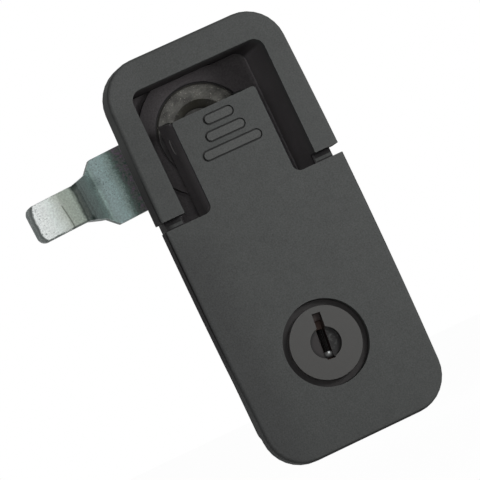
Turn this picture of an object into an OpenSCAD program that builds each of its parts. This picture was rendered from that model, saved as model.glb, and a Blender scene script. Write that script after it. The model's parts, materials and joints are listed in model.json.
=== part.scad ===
// Flush cabinet door lock with a folding lever, a key cylinder and a cranked cam.
// It stands as on a closed door: +Z up the door, -Y out of the door towards the user, +X to the
// user's right. The origin is on the door's front face, in the middle of the lock's face.
// Depths are measured from the front face of the lock, drops from its top edge.

/* [Face] */
// Greatest width of the face
face_w = 50; // [46:0.5:60]
// Length of the face
face_l = 109; // [105:0.5:130]
// Height of the face above the back of the flange
face_rise = 7; // [6:0.5:9]
// Radius of the slight bow of the long sides
side_r = 1485; // [700:5:4000]
// Corner radius of the face
corner_r = 10; // [6:0.5:12]
// Rounding of the front edge
edge_r = 0.9; // [0.3:0.1:1.5]
// Width of the bar above the recess
bar_w = 7.6; // [7:0.1:10]
// Width of each arm beside the recess
arm_w = 6.65; // [6.2:0.05:8.5]
// Corner radius of the recess
recess_r = 3; // [2:0.1:4]
// Length of the arms, from the top edge
arm_drop = 39.9; // [38:0.1:44]
// Gap between the arms and the lever's shoulders
arm_gap = 2.5; // [1.5:0.1:3]
// How far the base stands back from the lever's edge
base_inset = 1.6; // [1:0.1:1.8]

/* [Housing] */
// Depth of the recess floor
floor_depth = 21.5; // [20.5:0.1:23]
// Thickness of the floor
floor_t = 2.5; // [2:0.1:4]
// Wall of the tub
tub_wall = 1.8; // [1.5:0.1:2.2]
// Outer radius of the ring round the hub
ring_r = 16.7; // [16:0.1:17.2]
// Wall of the bearing boss round its bore
boss_wall = 5; // [4.5:0.1:7]
// Length of the bearing boss behind the tub
boss_l = 14; // [12:0.5:20]
// Height of the rim that stops the turn
rim_h = 2.6; // [2:0.1:3]
// Distance of the fixing pillars from the long edges
pillar_edge_x = 11; // [10:0.1:13]
// Distance of the fixing pillars from the ends
pillar_edge_z = 5; // [4.8:0.1:5.4]
// Outer radius of a fixing pillar
pillar_r = 3; // [2.8:0.1:3.1]
// Length of a fixing pillar behind the flange
pillar_l = 10; // [6:0.5:14]
// Radius of the tapped hole in a pillar
tap_r = 1.65; // [1.25:0.05:2.1]

/* [Lever] */
// Thickness of the lever's edge
lever_t = 4.5; // [3.5:0.1:5]
// Thickness of the lever's front wall
lever_web = 2.8; // [2:0.1:3.2]
// Thickness of the lever's side walls
lever_wall = 2.4; // [2:0.1:3]
// Width of the tongue
tongue_w = 23.2; // [22:0.1:25]
// Drop of the tongue's end below the top edge
tongue_drop = 18.4; // [17:0.1:19]
// Thickness of the tongue's side skirts
skirt_t = 2.5; // [2:0.1:3]
// Depth of the skirts' rear edges
skirt_depth = 15; // [13:0.1:16]
// How far the skirts' ends reach above the tongue's end
skirt_rise = 1.4; // [0.5:0.1:1.8]
// Fillet between tongue and shoulders
root_r = 2; // [1:0.1:3]
// Length of the top grip bar
grip_top_l = 7.5; // [6:0.1:9]
// Length of the middle grip bar
grip_middle_l = 10.2; // [9:0.1:12]
// Length of the lowest grip bar
grip_low_l = 15.6; // [13:0.1:17]
// Drop of the top grip bar
grip_drop = 21.4; // [21:0.1:23]
// Spacing of the grip bars
grip_pitch = 4.1; // [3.5:0.1:5]
// Height of a grip bar across its length
grip_h = 2; // [1.5:0.1:2.4]
// How far a grip bar stands proud
grip_rise = 0.35; // [0.2:0.05:0.6]
// Width and depth of the line round a grip bar
grip_line = 0.45; // [0.3:0.05:0.5]
// Thickness of the cross ribs behind the lever
rib_t = 1.8; // [1.4:0.1:2.4]
// Distance from the ribs behind the tongue to the cylinder's boss
rib_end = 7; // [4:0.5:10]

/* [Hub and cross pin] */
// Drop of the spindle's axis below the top edge
axis_drop = 22.2; // [21.8:0.1:23]
// How far the cross pin lies below that axis
pin_below = 1.2; // [1:0.1:1.4]
// Depth of the cross pin
pin_depth = 9.5; // [9:0.1:10]
// Radius of the cross pin
pin_r = 2; // [1.5:0.1:2.2]
// Radius of the hub's disc
disc_r = 11.8; // [11.4:0.1:12.4]
// Depth of the disc's face
disc_depth = 19.3; // [18.8:0.1:20]
// Thickness of the disc
disc_t = 3; // [2.5:0.1:3.5]
// Length of the hub's shank in the bearing bore
shank_l = 6; // [5.5:0.1:7]
// Gap between the disc and the ring
disc_gap = 0.7; // [0.5:0.1:1]
// Inner radius of the disc's bright rim
dish_r = 8; // [7.6:0.1:9]
// Depth of the hollow in the disc
dish_h = 2; // [1.5:0.1:2.2]
// Width of the block between the skirts
block_w = 16; // [14:0.1:16.4]
// Radius of the block's rounded top
block_r = 5.5; // [5.2:0.1:5.6]
// Radius of a detent ball
ball_r = 1.5; // [1.2:0.1:1.7]
// Distance of the detent balls behind the cross pin
detent_dy = 4.2; // [4:0.1:4.5]
// Distance of the detent balls below the cross pin
detent_drop = 3; // [2.8:0.1:3.2]
// Thickness of the detent spring's wire
detent_wire = 0.4; // [0.3:0.05:0.5]

/* [Spindle] */
// Radius of the bearing bore in the boss
bore_r = 8; // [7:0.1:9]
// Running clearance of a shaft in its bore, on the radius
run_c = 0.05; // [0.02:0.01:0.1]
// Radius of the spindle's pilot in the hub
pilot_r = 5; // [4:0.1:5.5]
// Length of the pilot's bore in the hub
pilot_l = 4.8; // [4:0.1:5.2]
// Width of the square end across its flats
square_w = 9; // [8:0.1:9.5]
// Clearance of the cam and the stop plate on the square, on each side
square_c = 0.05; // [0.02:0.01:0.2]
// Thickness of the retaining ring
ring_t = 1; // [0.8:0.1:1.2]
// How far the retaining ring stands out past the bore
ring_proud = 1.6; // [1.4:0.1:2]
// Depth of the retaining ring's groove
ring_groove = 1; // [0.8:0.1:1.2]
// Radius of the seal's round section
seal_r = 0.88; // [0.75:0.01:1]
// Thickness of the stop plate
stop_t = 1.5; // [1.2:0.1:2]
// Quarter turn of the spindle in degrees
turn_angle = 90; // [80:1:100]
// Radius of the thread of the cam screw
screw_r = 3; // [2.5:0.1:3]
// Length of the cam screw under its head
screw_l = 12.7; // [10:0.1:14]

/* [Cam] */
// Thickness of the cam strip
cam_t = 3; // [2.5:0.1:4]
// Width of the cam at the spindle
cam_w = 18.2; // [17:0.1:20]
// Width of the neck where the crank starts
neck_w = 12.7; // [11:0.1:14]
// Width of the cam's end pad
pad_w = 10; // [8:0.1:11]
// Reach of the cam from the spindle's axis
cam_reach = 46.9; // [42:0.1:60]
// Droop of the cam below level when the lock is shut, in degrees
cam_droop = 2.5; // [0:0.1:4]
// How far the cam's middle line passes below the spindle's axis
cam_offset = 1.4; // [0:0.1:1.6]
// Length of the end pad, up to the crank's foot
pad_l = 13.5; // [12.5:0.1:20]
// Distance from the chamfered shoulders to the start of the crank
shoulder_l = 2.6; // [2:0.1:4]
// Length of the crank along the cam
crank_l = 5.8; // [5:0.1:8]
// Offset of the crank towards the door
crank_h = 6; // [3:0.1:7]
// Distance from the end of the cam to the slight bend of the pad
pad_bend_l = 8.9; // [6:0.1:9]
// Angle of that bend in degrees
pad_bend_a = 4; // [0:0.5:8]
// Inner radius of the bends
bend_r = 1.5; // [1:0.1:3]
// Radius of the washer under the cam screw
washer_r = 8; // [7:0.1:9]
// Thickness of that washer
washer_t = 1.2; // [1:0.1:1.6]
// Thickness of the spring washer
spring_washer_t = 1.5; // [1.2:0.1:2]
// Width of the spring washer's section
spring_washer_w = 2.15; // [1.8:0.05:2.4]
// Height of the screw's hexagon head
screw_head_h = 4; // [3.5:0.1:5]

/* [Key cylinder] */
// Rise of the key cylinder above the bottom edge
key_rise = 25.4; // [24.5:0.1:27]
// Radius of the hole in the lever
key_hole_r = 11.05; // [10.6:0.05:11.3]
// Depth of the groove round the plug's face
groove_depth = 2; // [1.5:0.1:2.5]
// Thickness of the body's collar
collar_t = 3; // [2.5:0.1:3.5]
// Radius of the body behind its collar
barrel_r = 9.9; // [9:0.1:10]
// Depth of the end of the body
barrel_depth = 15; // [14.5:0.1:16]
// Wall of the lever's boss round the body
key_boss_wall = 2.2; // [1.8:0.1:2.3]
// Depth of the end of that boss
key_boss_depth = 11; // [9:0.1:12]
// Thickness of the clip that holds the body
clip_t = 1; // [0.8:0.1:1.2]
// Depth of the clip's groove
clip_groove = 0.7; // [0.5:0.1:1]
// Radius of the plug's face
plug_face_r = 9.3; // [9:0.1:9.7]
// Radius of the plug
plug_r = 6.5; // [6:0.1:7]
// Depth of the plug's face below the lever's face
plug_sink = 0.2; // [0:0.1:0.5]
// Radius of the round recess for the key's shoulder
key_seat_r = 4; // [3.6:0.1:4.2]
// Depth of that recess
key_seat_h = 1.4; // [1:0.1:1.7]
// Width of the key slot
slot_w = 2.2; // [1.8:0.1:2.6]
// Reach of the key slot above the plug's axis
slot_up = 7.7; // [6.5:0.1:8]
// Reach of the key slot below the plug's axis
slot_down = 4.2; // [3.5:0.1:5]
// Depth of the key slot
slot_depth = 9.5; // [8:0.1:10]
// Lean of the key slot from upright in degrees
slot_lean = 6; // [0:1:10]
// Number of wafers
wafer_n = 4; // [3:1:4]
// Pitch of the wafers
wafer_pitch = 1.6; // [1.5:0.1:1.6]
// Thickness of a wafer
wafer_t = 0.9; // [0.7:0.1:1]
// Width of a wafer
wafer_w = 4.6; // [4.2:0.1:5]
// Reach of the locking tail from the plug's axis
tail_reach = 15.4; // [14.8:0.1:16]
// Width of the locking tail
tail_w = 7; // [6:0.1:8]
// Thickness of the locking tail
tail_t = 2; // [1.8:0.1:2.6]
// Clearance between the tail and the keeper
tail_c = 0.5; // [0.3:0.1:0.8]
// Width of the square tang that drives the tail
tang_w = 6.4; // [6:0.1:6.8]
// Radius of the tail screw's thread
tail_thread_r = 1.5; // [1.25:0.25:1.75]
// Length of the tail screw under its head
tail_thread_l = 6; // [5:0.5:7]
// Radius of the tail screw's head
tail_head_r = 4.7; // [4.6:0.1:5.2]
// Thickness of the tail screw's head
tail_head_t = 1.5; // [1.3:0.1:1.8]

/* [Gasket] */
// Thickness of the panel gasket
gasket_t = 1; // [0.8:0.1:2]
// How far the gasket stands back from the flange's edge at the ends
gasket_inset = 1; // [0.8:0.1:1.1]
// How far it stands back at the long sides
gasket_side = 2; // [1.2:0.1:2.2]

/* [Hidden] */

black_cast = "#1d1d1e";
raw_zinc = "#8d8a82";
bright_zinc = "#b4c2c1";
steel = "#8f9294";
brass = "#b08d4c";
rubber = "#141414";

// Small overlap that makes a cut or a joint of one solid clean
eps = 0.01;
// Clearance between pieces that only lie beside each other
side_c = 0.3;
// Clearance of a part that is held firmly in its hole
tight_c = 0.02;

recess_w = face_w - 2 * arm_w;
boss_r = bore_r + boss_wall;
pillar_dx = face_w - 2 * pillar_edge_x;
pillar_dz = face_l - 2 * pillar_edge_z;
grip_l = [grip_top_l, grip_middle_l, grip_low_l];

// Place along Y of a depth below the lock's face
function y_at(depth) = depth - face_rise - gasket_t;
// Place along Z of a drop below the top edge
function z_at(drop) = face_l / 2 - drop;

front_y = y_at(0);
ledge_y = y_at(lever_t);
flange_y = -gasket_t;
floor_y = y_at(floor_depth);
tub_y = floor_y + floor_t;
arm_z = z_at(arm_drop);
shoulder_z = arm_z - arm_gap;
recess_top_z = z_at(bar_w);
tongue_z = z_at(tongue_drop);
axis_z = z_at(axis_drop);
pin_z = axis_z - pin_below;
key_z = key_rise - face_l / 2;
pin_y = y_at(pin_depth);
web_y = front_y + lever_web;
skirt_y = y_at(skirt_depth);
skirt_x = tongue_w / 2;

// The recess ends below the lever's cylinder boss, and the keeper and its undercut lie below that
key_boss_r = barrel_r + run_c + key_boss_wall;
rib_end_z = key_z + key_boss_r + rib_end;
key_boss_gap = 1.1;
recess_end_z = key_z - key_boss_r - key_boss_gap;
barrel_y = y_at(barrel_depth);
tail_y = barrel_y + side_c;
keeper_y = tail_y - tail_c;
tail_swing_r = norm([tail_reach, tail_w / 2]);
undercut_z = key_z - tail_swing_r - tail_c;
undercut_w = 2 * sqrt(pow(tail_swing_r, 2) - pow(recess_end_z - key_z, 2)) + 4 * tail_c;
tub_w = recess_w + 2 * tub_wall;
tub_top_z = recess_top_z + tub_wall;
tub_end_z = undercut_z - tub_wall;

disc_y = y_at(disc_depth);
disc_seat_y = disc_y + disc_t;
seat_r = disc_r + disc_gap;
boss_y = tub_y + boss_l;
hub_end_y = disc_seat_y + shank_l;
detent_r = norm([detent_dy, detent_drop]);
ball_x = block_w / 2 + ball_r / 3;
journal_r = bore_r - run_c;

// Stack of the turning parts behind the boss
ring_y = boss_y + 0.2;
square_y = ring_y + ring_t + side_c;
stop_y = square_y;
cam_y = stop_y + stop_t;
washer_y = cam_y + cam_t;
spring_washer_y = washer_y + washer_t;
screw_head_y = spring_washer_y + spring_washer_t;
square_end_y = washer_y - side_c;
stop_plate_r = bore_r + ring_proud;
crank_x = cam_reach - pad_l - crank_l;
shoulder_x = crank_x - shoulder_l;
lug_half_a = 12;
lug_free_a = 1;
seal_y = boss_y - 4;
seal_groove_r = journal_r - 2 * seal_r;

plug_face_y = front_y + plug_sink;
groove_y = y_at(groove_depth);
collar_y = groove_y + collar_t;
plug_body_y = groove_y + run_c;
clip_y = y_at(key_boss_depth);
clip_groove_r = barrel_r - clip_groove;

// Places along Y of the front of each wafer's chamber, and the length of a wafer
wafer_gap = 0.1;
wafer_y = [for (k = [0:wafer_n - 1]) plug_body_y + wafer_pitch * (k + 1)];
wafer_l = 2 * sqrt(pow(plug_r, 2) - pow(wafer_w / 2, 2)) - 2 * wafer_gap;
spring_r = 0.42;
spring_wire_r = 0.13;
spring_l = 3.2;
spring_y = 0.65;

$fn = 48;

// Solids made along the door's normal, across the door or round an axis along Y
module along_y(y0, y1) {
    translate([0, y1, 0]) rotate([90, 0, 0]) linear_extrude(y1 - y0) children();
}

module along_x(x0, x1) {
    translate([x0, 0, 0]) rotate([90, 0, 90]) linear_extrude(x1 - x0) children();
}

module rod_y(r, y0, y1, x = 0, z = 0) {
    translate([x, y0, z]) rotate([-90, 0, 0]) cylinder(r = r, h = y1 - y0);
}

module rod_x(r, x0, x1, y, z) {
    translate([x0, y, z]) rotate([0, 90, 0]) cylinder(r = r, h = x1 - x0);
}

module turned(z) {
    translate([0, 0, z]) rotate([-90, 0, 0]) rotate_extrude($fn = 72) children();
}

module at_axis() {
    translate([0, 0, axis_z]) children();
}

// The cam and what turns it by its square droop together
module at_rotor() {
    at_axis() rotate([0, -cam_droop, 0]) children();
}

// The key's pieces share the lean of the key slot
module at_key() {
    translate([0, 0, key_z]) rotate([0, slot_lean, 0]) children();
}

// Rectangle from a low corner to a high corner
module span(x0, z0, x1, z1) {
    translate([x0, z0]) square([x1 - x0, z1 - z0]);
}

// The same with rounded corners, as exact arcs
module round_span(x0, z0, x1, z1, r) {
    span(x0 + r, z0, x1 - r, z1);
    span(x0, z0 + r, x1, z1 - r);
    for (x = [x0 + r, x1 - r], z = [z0 + r, z1 - r]) translate([x, z]) circle(r);
}

// Outline of the face, moved in by i: bowed long sides between round corners
bow_c = side_r - face_w / 2;
corner_z = face_l / 2 - corner_r;
corner_x = sqrt(pow(side_r - corner_r, 2) - pow(corner_z, 2)) - bow_c;
bow_a = asin(corner_z / (side_r - corner_r));
corner_steps = 8;
side_steps = 8;

function arc(cx, cz, r, a0, a1, n, first, last) =
    [for (k = [first:last]) let(a = a0 + (a1 - a0) * k / n) [cx + r * cos(a), cz + r * sin(a)]];

function face_ring(i) = let(s = side_r - i, c = corner_r - i) concat(
    arc(-bow_c, 0, s, -bow_a, bow_a, side_steps, 1, side_steps - 1),
    arc(corner_x, corner_z, c, bow_a, 90, corner_steps, 0, corner_steps),
    arc(-corner_x, corner_z, c, 90, 180 - bow_a, corner_steps, 0, corner_steps),
    arc(bow_c, 0, s, 180 - bow_a, 180 + bow_a, side_steps, 1, side_steps - 1),
    arc(-corner_x, -corner_z, c, 180 + bow_a, 270, corner_steps, 0, corner_steps),
    arc(corner_x, -corner_z, c, 270, 360 - bow_a, corner_steps, 0, corner_steps));

// Slab with that outline, from the face to y1, with its front edge rounded
edge_steps = 4;

module face_slab(y1) {
    n = len(face_ring(0));
    rings = [for (k = [0:edge_steps]) let(a = 90 * k / edge_steps)
        [edge_r * (1 - cos(a)), front_y + edge_r * (1 - sin(a))]];
    levels = concat([[0, y1]], rings);
    points = [for (l = levels) for (p = face_ring(l[0])) [p[0], l[1], p[1]]];
    top = len(levels) - 1;
    sides = [for (l = [0:top - 1]) for (k = [0:n - 1])
        [l * n + k, (l + 1) * n + k, (l + 1) * n + (k + 1) % n, l * n + (k + 1) % n]];
    caps = [[for (k = [0:n - 1]) k], [for (k = [n - 1:-1:0]) top * n + k]];
    polyhedron(points, concat(sides, caps));
}

module above(z) {
    translate([-face_w, -face_w, z]) cube([2 * face_w, 2 * face_w, face_l]);
}

module below(z) {
    translate([-face_w, -face_w, z - 2 * face_l]) cube([2 * face_w, 2 * face_w, 2 * face_l]);
}

// Rim on the boss's end, open where the stop plate's lug swings
module stop_rim() {
    a0 = 90 + cam_droop - lug_half_a - lug_free_a;
    a1 = 90 + cam_droop + turn_angle + lug_half_a + lug_free_a;
    steps = 4;
    along_y(boss_y - eps, boss_y + rim_h) translate([0, axis_z]) difference() {
        circle(boss_r, $fn = 72);
        circle(stop_plate_r + 0.8, $fn = 72);
        polygon(concat([[0, 0]], arc(0, 0, 2 * boss_r, a0, a1, steps, 0, steps)));
    }
}

module fixing_pillars(r, y0, y1) {
    for (x = [-1, 1], z = [-1, 1]) rod_y(r, y0, y1, x * pillar_dx / 2, z * pillar_dz / 2);
}

module boss_ribs() {
    reach = boss_r + 6;
    for (a = [45:90:315]) at_axis() rotate([0, a, 0]) along_x(-0.9, 0.9)
        polygon([[tub_y - eps, 0], [tub_y - eps, reach], [tub_y + 3, reach], [tub_y + boss_l * 0.7, 0]]);
}

module housing_case() {
    intersection() {
        face_slab(flange_y);
        above(arm_z);
    }
    along_y(ledge_y, flange_y) polygon(face_ring(base_inset));
    along_y(ledge_y, tub_y) round_span(-tub_w / 2, tub_end_z, tub_w / 2, tub_top_z, 5);
    turned(axis_z) polygon([[0, floor_y + 1], [boss_r + 2, floor_y + 1], [boss_r + 2, tub_y + 2],
        [boss_r, tub_y + 6], [boss_r, boss_y], [0, boss_y]]);
    boss_ribs();
    stop_rim();
    fixing_pillars(pillar_r, ledge_y + eps, flange_y + pillar_l);
}

module housing() {
    blind = 1;
    color(black_cast) difference() {
        union() {
            difference() {
                housing_case();
                along_y(front_y - 1, floor_y)
                    round_span(-recess_w / 2, recess_end_z, recess_w / 2, recess_top_z, recess_r);
                along_y(keeper_y, floor_y) span(-undercut_w / 2, undercut_z,
                    undercut_w / 2, recess_end_z + 1);
            }
            intersection() {
                rod_y(ring_r, disc_y, floor_y + eps, z = axis_z, $fn = 96);
                below(recess_top_z + tub_wall / 2);
            }
        }
        rod_y(seat_r, disc_y - 1, disc_seat_y, z = axis_z, $fn = 72);
        rod_y(bore_r, floor_y, boss_y + rim_h + 1, z = axis_z, $fn = 72);
        fixing_pillars(tap_r, ledge_y + blind, flange_y + pillar_l + 1, $fn = 32);
    }
}

// A grip bar's plan, grown by g
module grip(l, g) {
    r = grip_h / 2 + g;
    span(-l / 2 + grip_h / 2, -r, l / 2 - grip_h / 2, r);
    for (s = [-1, 1]) translate([s * (l - grip_h) / 2, 0]) circle(r, $fn = 32);
}

module each_grip(y0, y1, g) {
    along_y(y0, y1) for (k = [0:len(grip_l) - 1])
        translate([0, z_at(grip_drop + k * grip_pitch)]) grip(grip_l[k], g);
}

module tongue_plan() {
    round_span(-skirt_x, shoulder_z - 6, skirt_x, tongue_z, 0.8);
    for (s = [-1, 1]) scale([s, 1]) translate([skirt_x, shoulder_z]) difference() {
        translate([-eps, -eps]) square(root_r + eps);
        translate([root_r, root_r]) circle(root_r, $fn = 32);
    }
}

// Side view of a skirt: its end leans up, and it runs on behind the plate as a rib
module skirt_plan() {
    polygon([[web_y - eps, tongue_z - eps], [skirt_y, tongue_z + skirt_rise],
        [skirt_y, shoulder_z], [ledge_y + 1, rib_end_z], [web_y - eps, rib_end_z]]);
}

module lever_shell() {
    difference() {
        union() {
            intersection() {
                face_slab(ledge_y);
                below(shoulder_z);
            }
            along_y(front_y, ledge_y) tongue_plan();
        }
        intersection() {
            along_y(web_y, ledge_y + 1) polygon(face_ring(lever_wall));
            below(shoulder_z - lever_wall);
        }
        along_y(web_y, ledge_y + 1)
            span(-skirt_x + skirt_t, shoulder_z - 6, skirt_x - skirt_t, tongue_z - 2);
    }
}

module lever_ribs() {
    for (s = [-1, 1]) {
        x = s * (skirt_x - skirt_t / 2);
        along_x(x - skirt_t / 2, x + skirt_t / 2) skirt_plan();
    }
    // Cross ribs between the skirts and beside the cylinder boss
    h = rib_t / 2;
    for (z = [shoulder_z - rib_t, rib_end_z + 3 * rib_t])
        along_y(web_y - eps, ledge_y) span(-skirt_x + eps, z - h, skirt_x - eps, z + h);
    reach = face_w / 2 - lever_wall;
    for (s = [-1, 1]) along_y(web_y - eps, ledge_y) span(min(s * reach, s * key_boss_r / 2),
        key_z - h, max(s * reach, s * key_boss_r / 2), key_z + h);
    rod_y(key_hole_r + 1.6, web_y - eps, ledge_y, z = key_z);
    rod_y(key_boss_r, web_y - eps, clip_y, z = key_z);
}

module lever() {
    color(black_cast) difference() {
        union() {
            difference() {
                lever_shell();
                each_grip(front_y - 1, front_y + grip_line, grip_line);
            }
            each_grip(front_y - grip_rise, front_y + grip_line + eps, 0);
            lever_ribs();
        }
        rod_y(key_hole_r, front_y - 1, collar_y, z = key_z, $fn = 72);
        rod_y(barrel_r + run_c, collar_y - 1, clip_y + 1, z = key_z, $fn = 72);
        rod_x(pin_r + run_c, -skirt_x - 1, skirt_x + 1, pin_y, pin_z);
        detent_grooves();
    }
}

// Ring grooves in the skirts' inner faces, in which the detent balls run
module detent_grooves() {
    for (s = [-1, 1]) translate([s * ball_x, pin_y, pin_z]) rotate([0, 90, 0])
        rotate_extrude() translate([detent_r, 0]) circle(ball_r + 0.1, $fn = 24);
}

module at_detent() {
    translate([0, pin_y + detent_dy, pin_z - detent_drop]) children();
}

module hub() {
    chamfer = 0.4;
    color(raw_zinc) difference() {
        union() {
            turned(axis_z) polygon([[0, disc_y + dish_h], [dish_r - dish_h, disc_y + dish_h],
                [dish_r, disc_y], [disc_r - chamfer, disc_y], [disc_r, disc_y + chamfer],
                [disc_r, disc_seat_y], [journal_r, disc_seat_y], [journal_r, hub_end_y],
                [0, hub_end_y]]);
            along_x(-block_w / 2, block_w / 2) {
                translate([pin_y, pin_z]) circle(block_r, $fn = 64);
                span(pin_y, pin_z - block_r, disc_y + dish_h + eps, pin_z + block_r);
            }
        }
        rod_x(pin_r + tight_c, -block_w, block_w, pin_y, pin_z);
        rod_y(pilot_r + run_c, hub_end_y - pilot_l, hub_end_y + 1, z = axis_z);
        at_detent() rod_x(ball_r + run_c, -block_w, block_w, 0, 0);
    }
}

module cross_pin() {
    color(steel) rod_x(pin_r, -skirt_x, skirt_x, pin_y, pin_z);
}

module detent_balls() {
    color(steel) at_detent() for (s = [-1, 1]) translate([s * ball_x, 0, 0]) sphere(ball_r, $fn = 24);
}

// Coil of round wire along X, as one swept tube
coil_sides = 6;
coil_steps = 8;

function coil_points(length, r, wire_r, turns) = [
    for (k = [0:turns * coil_steps]) let(a = 360 * k / coil_steps, x = length * k / (turns * coil_steps))
    for (j = [0:coil_sides - 1]) let(b = 360 * j / coil_sides, d = r + wire_r * cos(b))
        [x + wire_r * sin(b), d * cos(a), d * sin(a)]];

module coil(length, r, wire_r, turns) {
    last = turns * coil_steps;
    sides = [for (k = [0:last - 1]) for (j = [0:coil_sides - 1])
        let(m = (j + 1) % coil_sides, a = k * coil_sides, b = (k + 1) * coil_sides)
        for (t = [[a + j, b + j, b + m], [a + j, b + m, a + m]]) t];
    caps = [[for (j = [0:coil_sides - 1]) j], [for (j = [coil_sides - 1:-1:0]) last * coil_sides + j]];
    translate([-length / 2, 0, 0])
        polyhedron(coil_points(length, r, wire_r, turns), concat(sides, caps));
}

module detent_spring() {
    wire_r = detent_wire / 2;
    length = 2 * (ball_x - ball_r - wire_r - run_c);
    color(steel) at_detent() coil(length, ball_r - wire_r - run_c, wire_r, 8);
}

module spindle() {
    j = journal_r;
    r = j - ring_groove;
    start_y = hub_end_y - pilot_l + side_c;
    shoulder_y = hub_end_y + 0.1;
    seal_w = seal_r + 0.1;
    color(raw_zinc) difference() {
        union() {
            turned(axis_z) polygon([[0, start_y], [pilot_r, start_y], [pilot_r, shoulder_y],
                [j, shoulder_y], [j, seal_y - seal_w], [seal_groove_r, seal_y - seal_w],
                [seal_groove_r, seal_y + seal_w], [j, seal_y + seal_w], [j, ring_y],
                [r, ring_y], [r, ring_y + ring_t], [j, ring_y + ring_t], [j, square_y],
                [0, square_y]]);
            at_rotor() along_y(square_y - eps, square_end_y) square(square_w, center = true);
        }
        rod_y(screw_r + tight_c, screw_head_y - screw_l - 2, square_end_y + 1, z = axis_z);
    }
}

module spindle_seal() {
    color(rubber) turned(axis_z)
        translate([seal_groove_r + seal_r + 0.01, seal_y]) circle(seal_r, $fn = 24);
}

module spindle_clip() {
    r = journal_r - ring_groove + tight_c;
    mouth = 0.7 * r;
    color(steel) along_y(ring_y + tight_c, ring_y + ring_t - tight_c) translate([0, axis_z])
        difference() {
            circle(stop_plate_r, $fn = 64);
            circle(r, $fn = 64);
            span(-mouth, -boss_r, mouth, 0);
        }
}

module square_hole() {
    square(square_w + 2 * square_c, center = true);
}

module stop_plate() {
    lug_r = boss_r - 0.3;
    color(bright_zinc) at_rotor() along_y(stop_y, cam_y) difference() {
        union() {
            circle(stop_plate_r, $fn = 64);
            intersection() {
                circle(lug_r, $fn = 64);
                polygon(concat([[0, 0]], arc(0, 0, 2 * boss_r, 90 - lug_half_a, 90 + lug_half_a, 1, 0, 1)));
            }
        }
        square_hole();
    }
}

// Plan of the cam, seen from the front with the cam to the left, about its own middle line
module cam_plan() {
    h = cam_w / 2;
    n = neck_w / 2;
    p = pad_w / 2;
    end_x = cam_reach;
    nip = 1.2;
    outline = [[0, h], [-shoulder_x, h], [-shoulder_x - (h - n), n], [-crank_x - crank_l, p],
        [-end_x + nip, p], [-end_x, p - nip]];
    polygon(concat(outline, [for (k = [len(outline) - 1:-1:0]) [outline[k][0], -outline[k][1]]]));
    circle(h, $fn = 64);
}

// Middle line of the strip, seen from above, with its bends as arcs
cam_bends = let(y = cam_y + cam_t / 2, pad_y = y - crank_h, past = 2) [
    [-cam_reach - past, pad_y + (pad_bend_l + past) * tan(pad_bend_a)],
    [-cam_reach + pad_bend_l, pad_y], [-crank_x - crank_l, pad_y], [-crank_x, y], [cam_w, y]];

function heading(a, b) = atan2(b[1] - a[1], b[0] - a[0]);
function side(p, a, d) = [p[0] - d * sin(a), p[1] + d * cos(a)];

// One side of the strip at distance d: each bend is turned about its own centre
function strip_side(path, d) = [for (k = [0:len(path) - 1])
    let(last = len(path) - 1,
        h0 = heading(path[max(k - 1, 0)], path[max(k, 1)]),
        h1 = heading(path[min(k, last - 1)], path[min(k + 1, last)]),
        turn = h1 - h0, r = bend_r + cam_t / 2, cut = r * tan(abs(turn) / 2), s = sign(turn),
        start = [path[k][0] - cut * cos(h0), path[k][1] - cut * sin(h0)],
        centre = side(start, h0, s * r), steps = abs(turn) < 0.01 ? 0 : max(2, ceil(abs(turn) / 9)))
    for (m = [0:steps]) let(a = steps == 0 ? h0 : h0 + turn * m / steps)
        steps == 0 ? side(path[k], a, d) : side(centre, a, d - s * r)];

function reversed(v) = [for (k = [len(v) - 1:-1:0]) v[k]];

module cam() {
    profile = concat(strip_side(cam_bends, cam_t / 2), reversed(strip_side(cam_bends, -cam_t / 2)));
    color(bright_zinc) at_rotor() difference() {
        intersection() {
            translate([0, 0, -cam_w]) linear_extrude(2 * cam_w) polygon(profile);
            along_y(cam_y - crank_h - cam_t, washer_y + 1) translate([0, -cam_offset]) cam_plan();
        }
        along_y(cam_y - 1, washer_y + 1) square_hole();
    }
}

module cam_washer() {
    color(bright_zinc) difference() {
        rod_y(washer_r, washer_y, spring_washer_y, z = axis_z);
        rod_y(screw_r + 0.2, washer_y - 1, spring_washer_y + 1, z = axis_z);
    }
}

module cam_spring_washer() {
    gap = 0.8;
    color(steel) along_y(spring_washer_y, screw_head_y) translate([0, axis_z]) difference() {
        circle(screw_r + 0.15 + spring_washer_w);
        circle(screw_r + 0.15);
        rotate(20) span(0, -gap / 2, washer_r, gap / 2);
    }
}

module cam_screw() {
    // A standard head is ten sixths of the thread across its flats
    head_r = screw_r * 10 / 6 / cos(30);
    color(bright_zinc) union() {
        rod_y(head_r, screw_head_y, screw_head_y + screw_head_h, z = axis_z, $fn = 6);
        rod_y(screw_r, screw_head_y - screw_l, screw_head_y + eps, z = axis_z);
    }
}

module cylinder_body() {
    color(black_cast) translate([0, 0, key_z]) difference() {
        union() {
            rod_y(key_hole_r - run_c, groove_y, collar_y, $fn = 72);
            rod_y(barrel_r, collar_y - eps, barrel_y, $fn = 72);
        }
        rod_y(plug_r + run_c, groove_y - 1, barrel_y + 1, $fn = 72);
        difference() {
            rod_y(barrel_r + 1, clip_y, clip_y + clip_t, $fn = 72);
            rod_y(clip_groove_r, clip_y - 1, clip_y + clip_t + 1, $fn = 72);
        }
    }
}

module cylinder_clip() {
    mouth = 0.8 * clip_groove_r;
    color(steel) along_y(clip_y + tight_c, clip_y + clip_t - tight_c) translate([0, key_z])
        difference() {
            circle(key_boss_r, $fn = 64);
            circle(clip_groove_r + tight_c, $fn = 64);
            span(-mouth, 0, mouth, 2 * barrel_r);
        }
}

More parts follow.
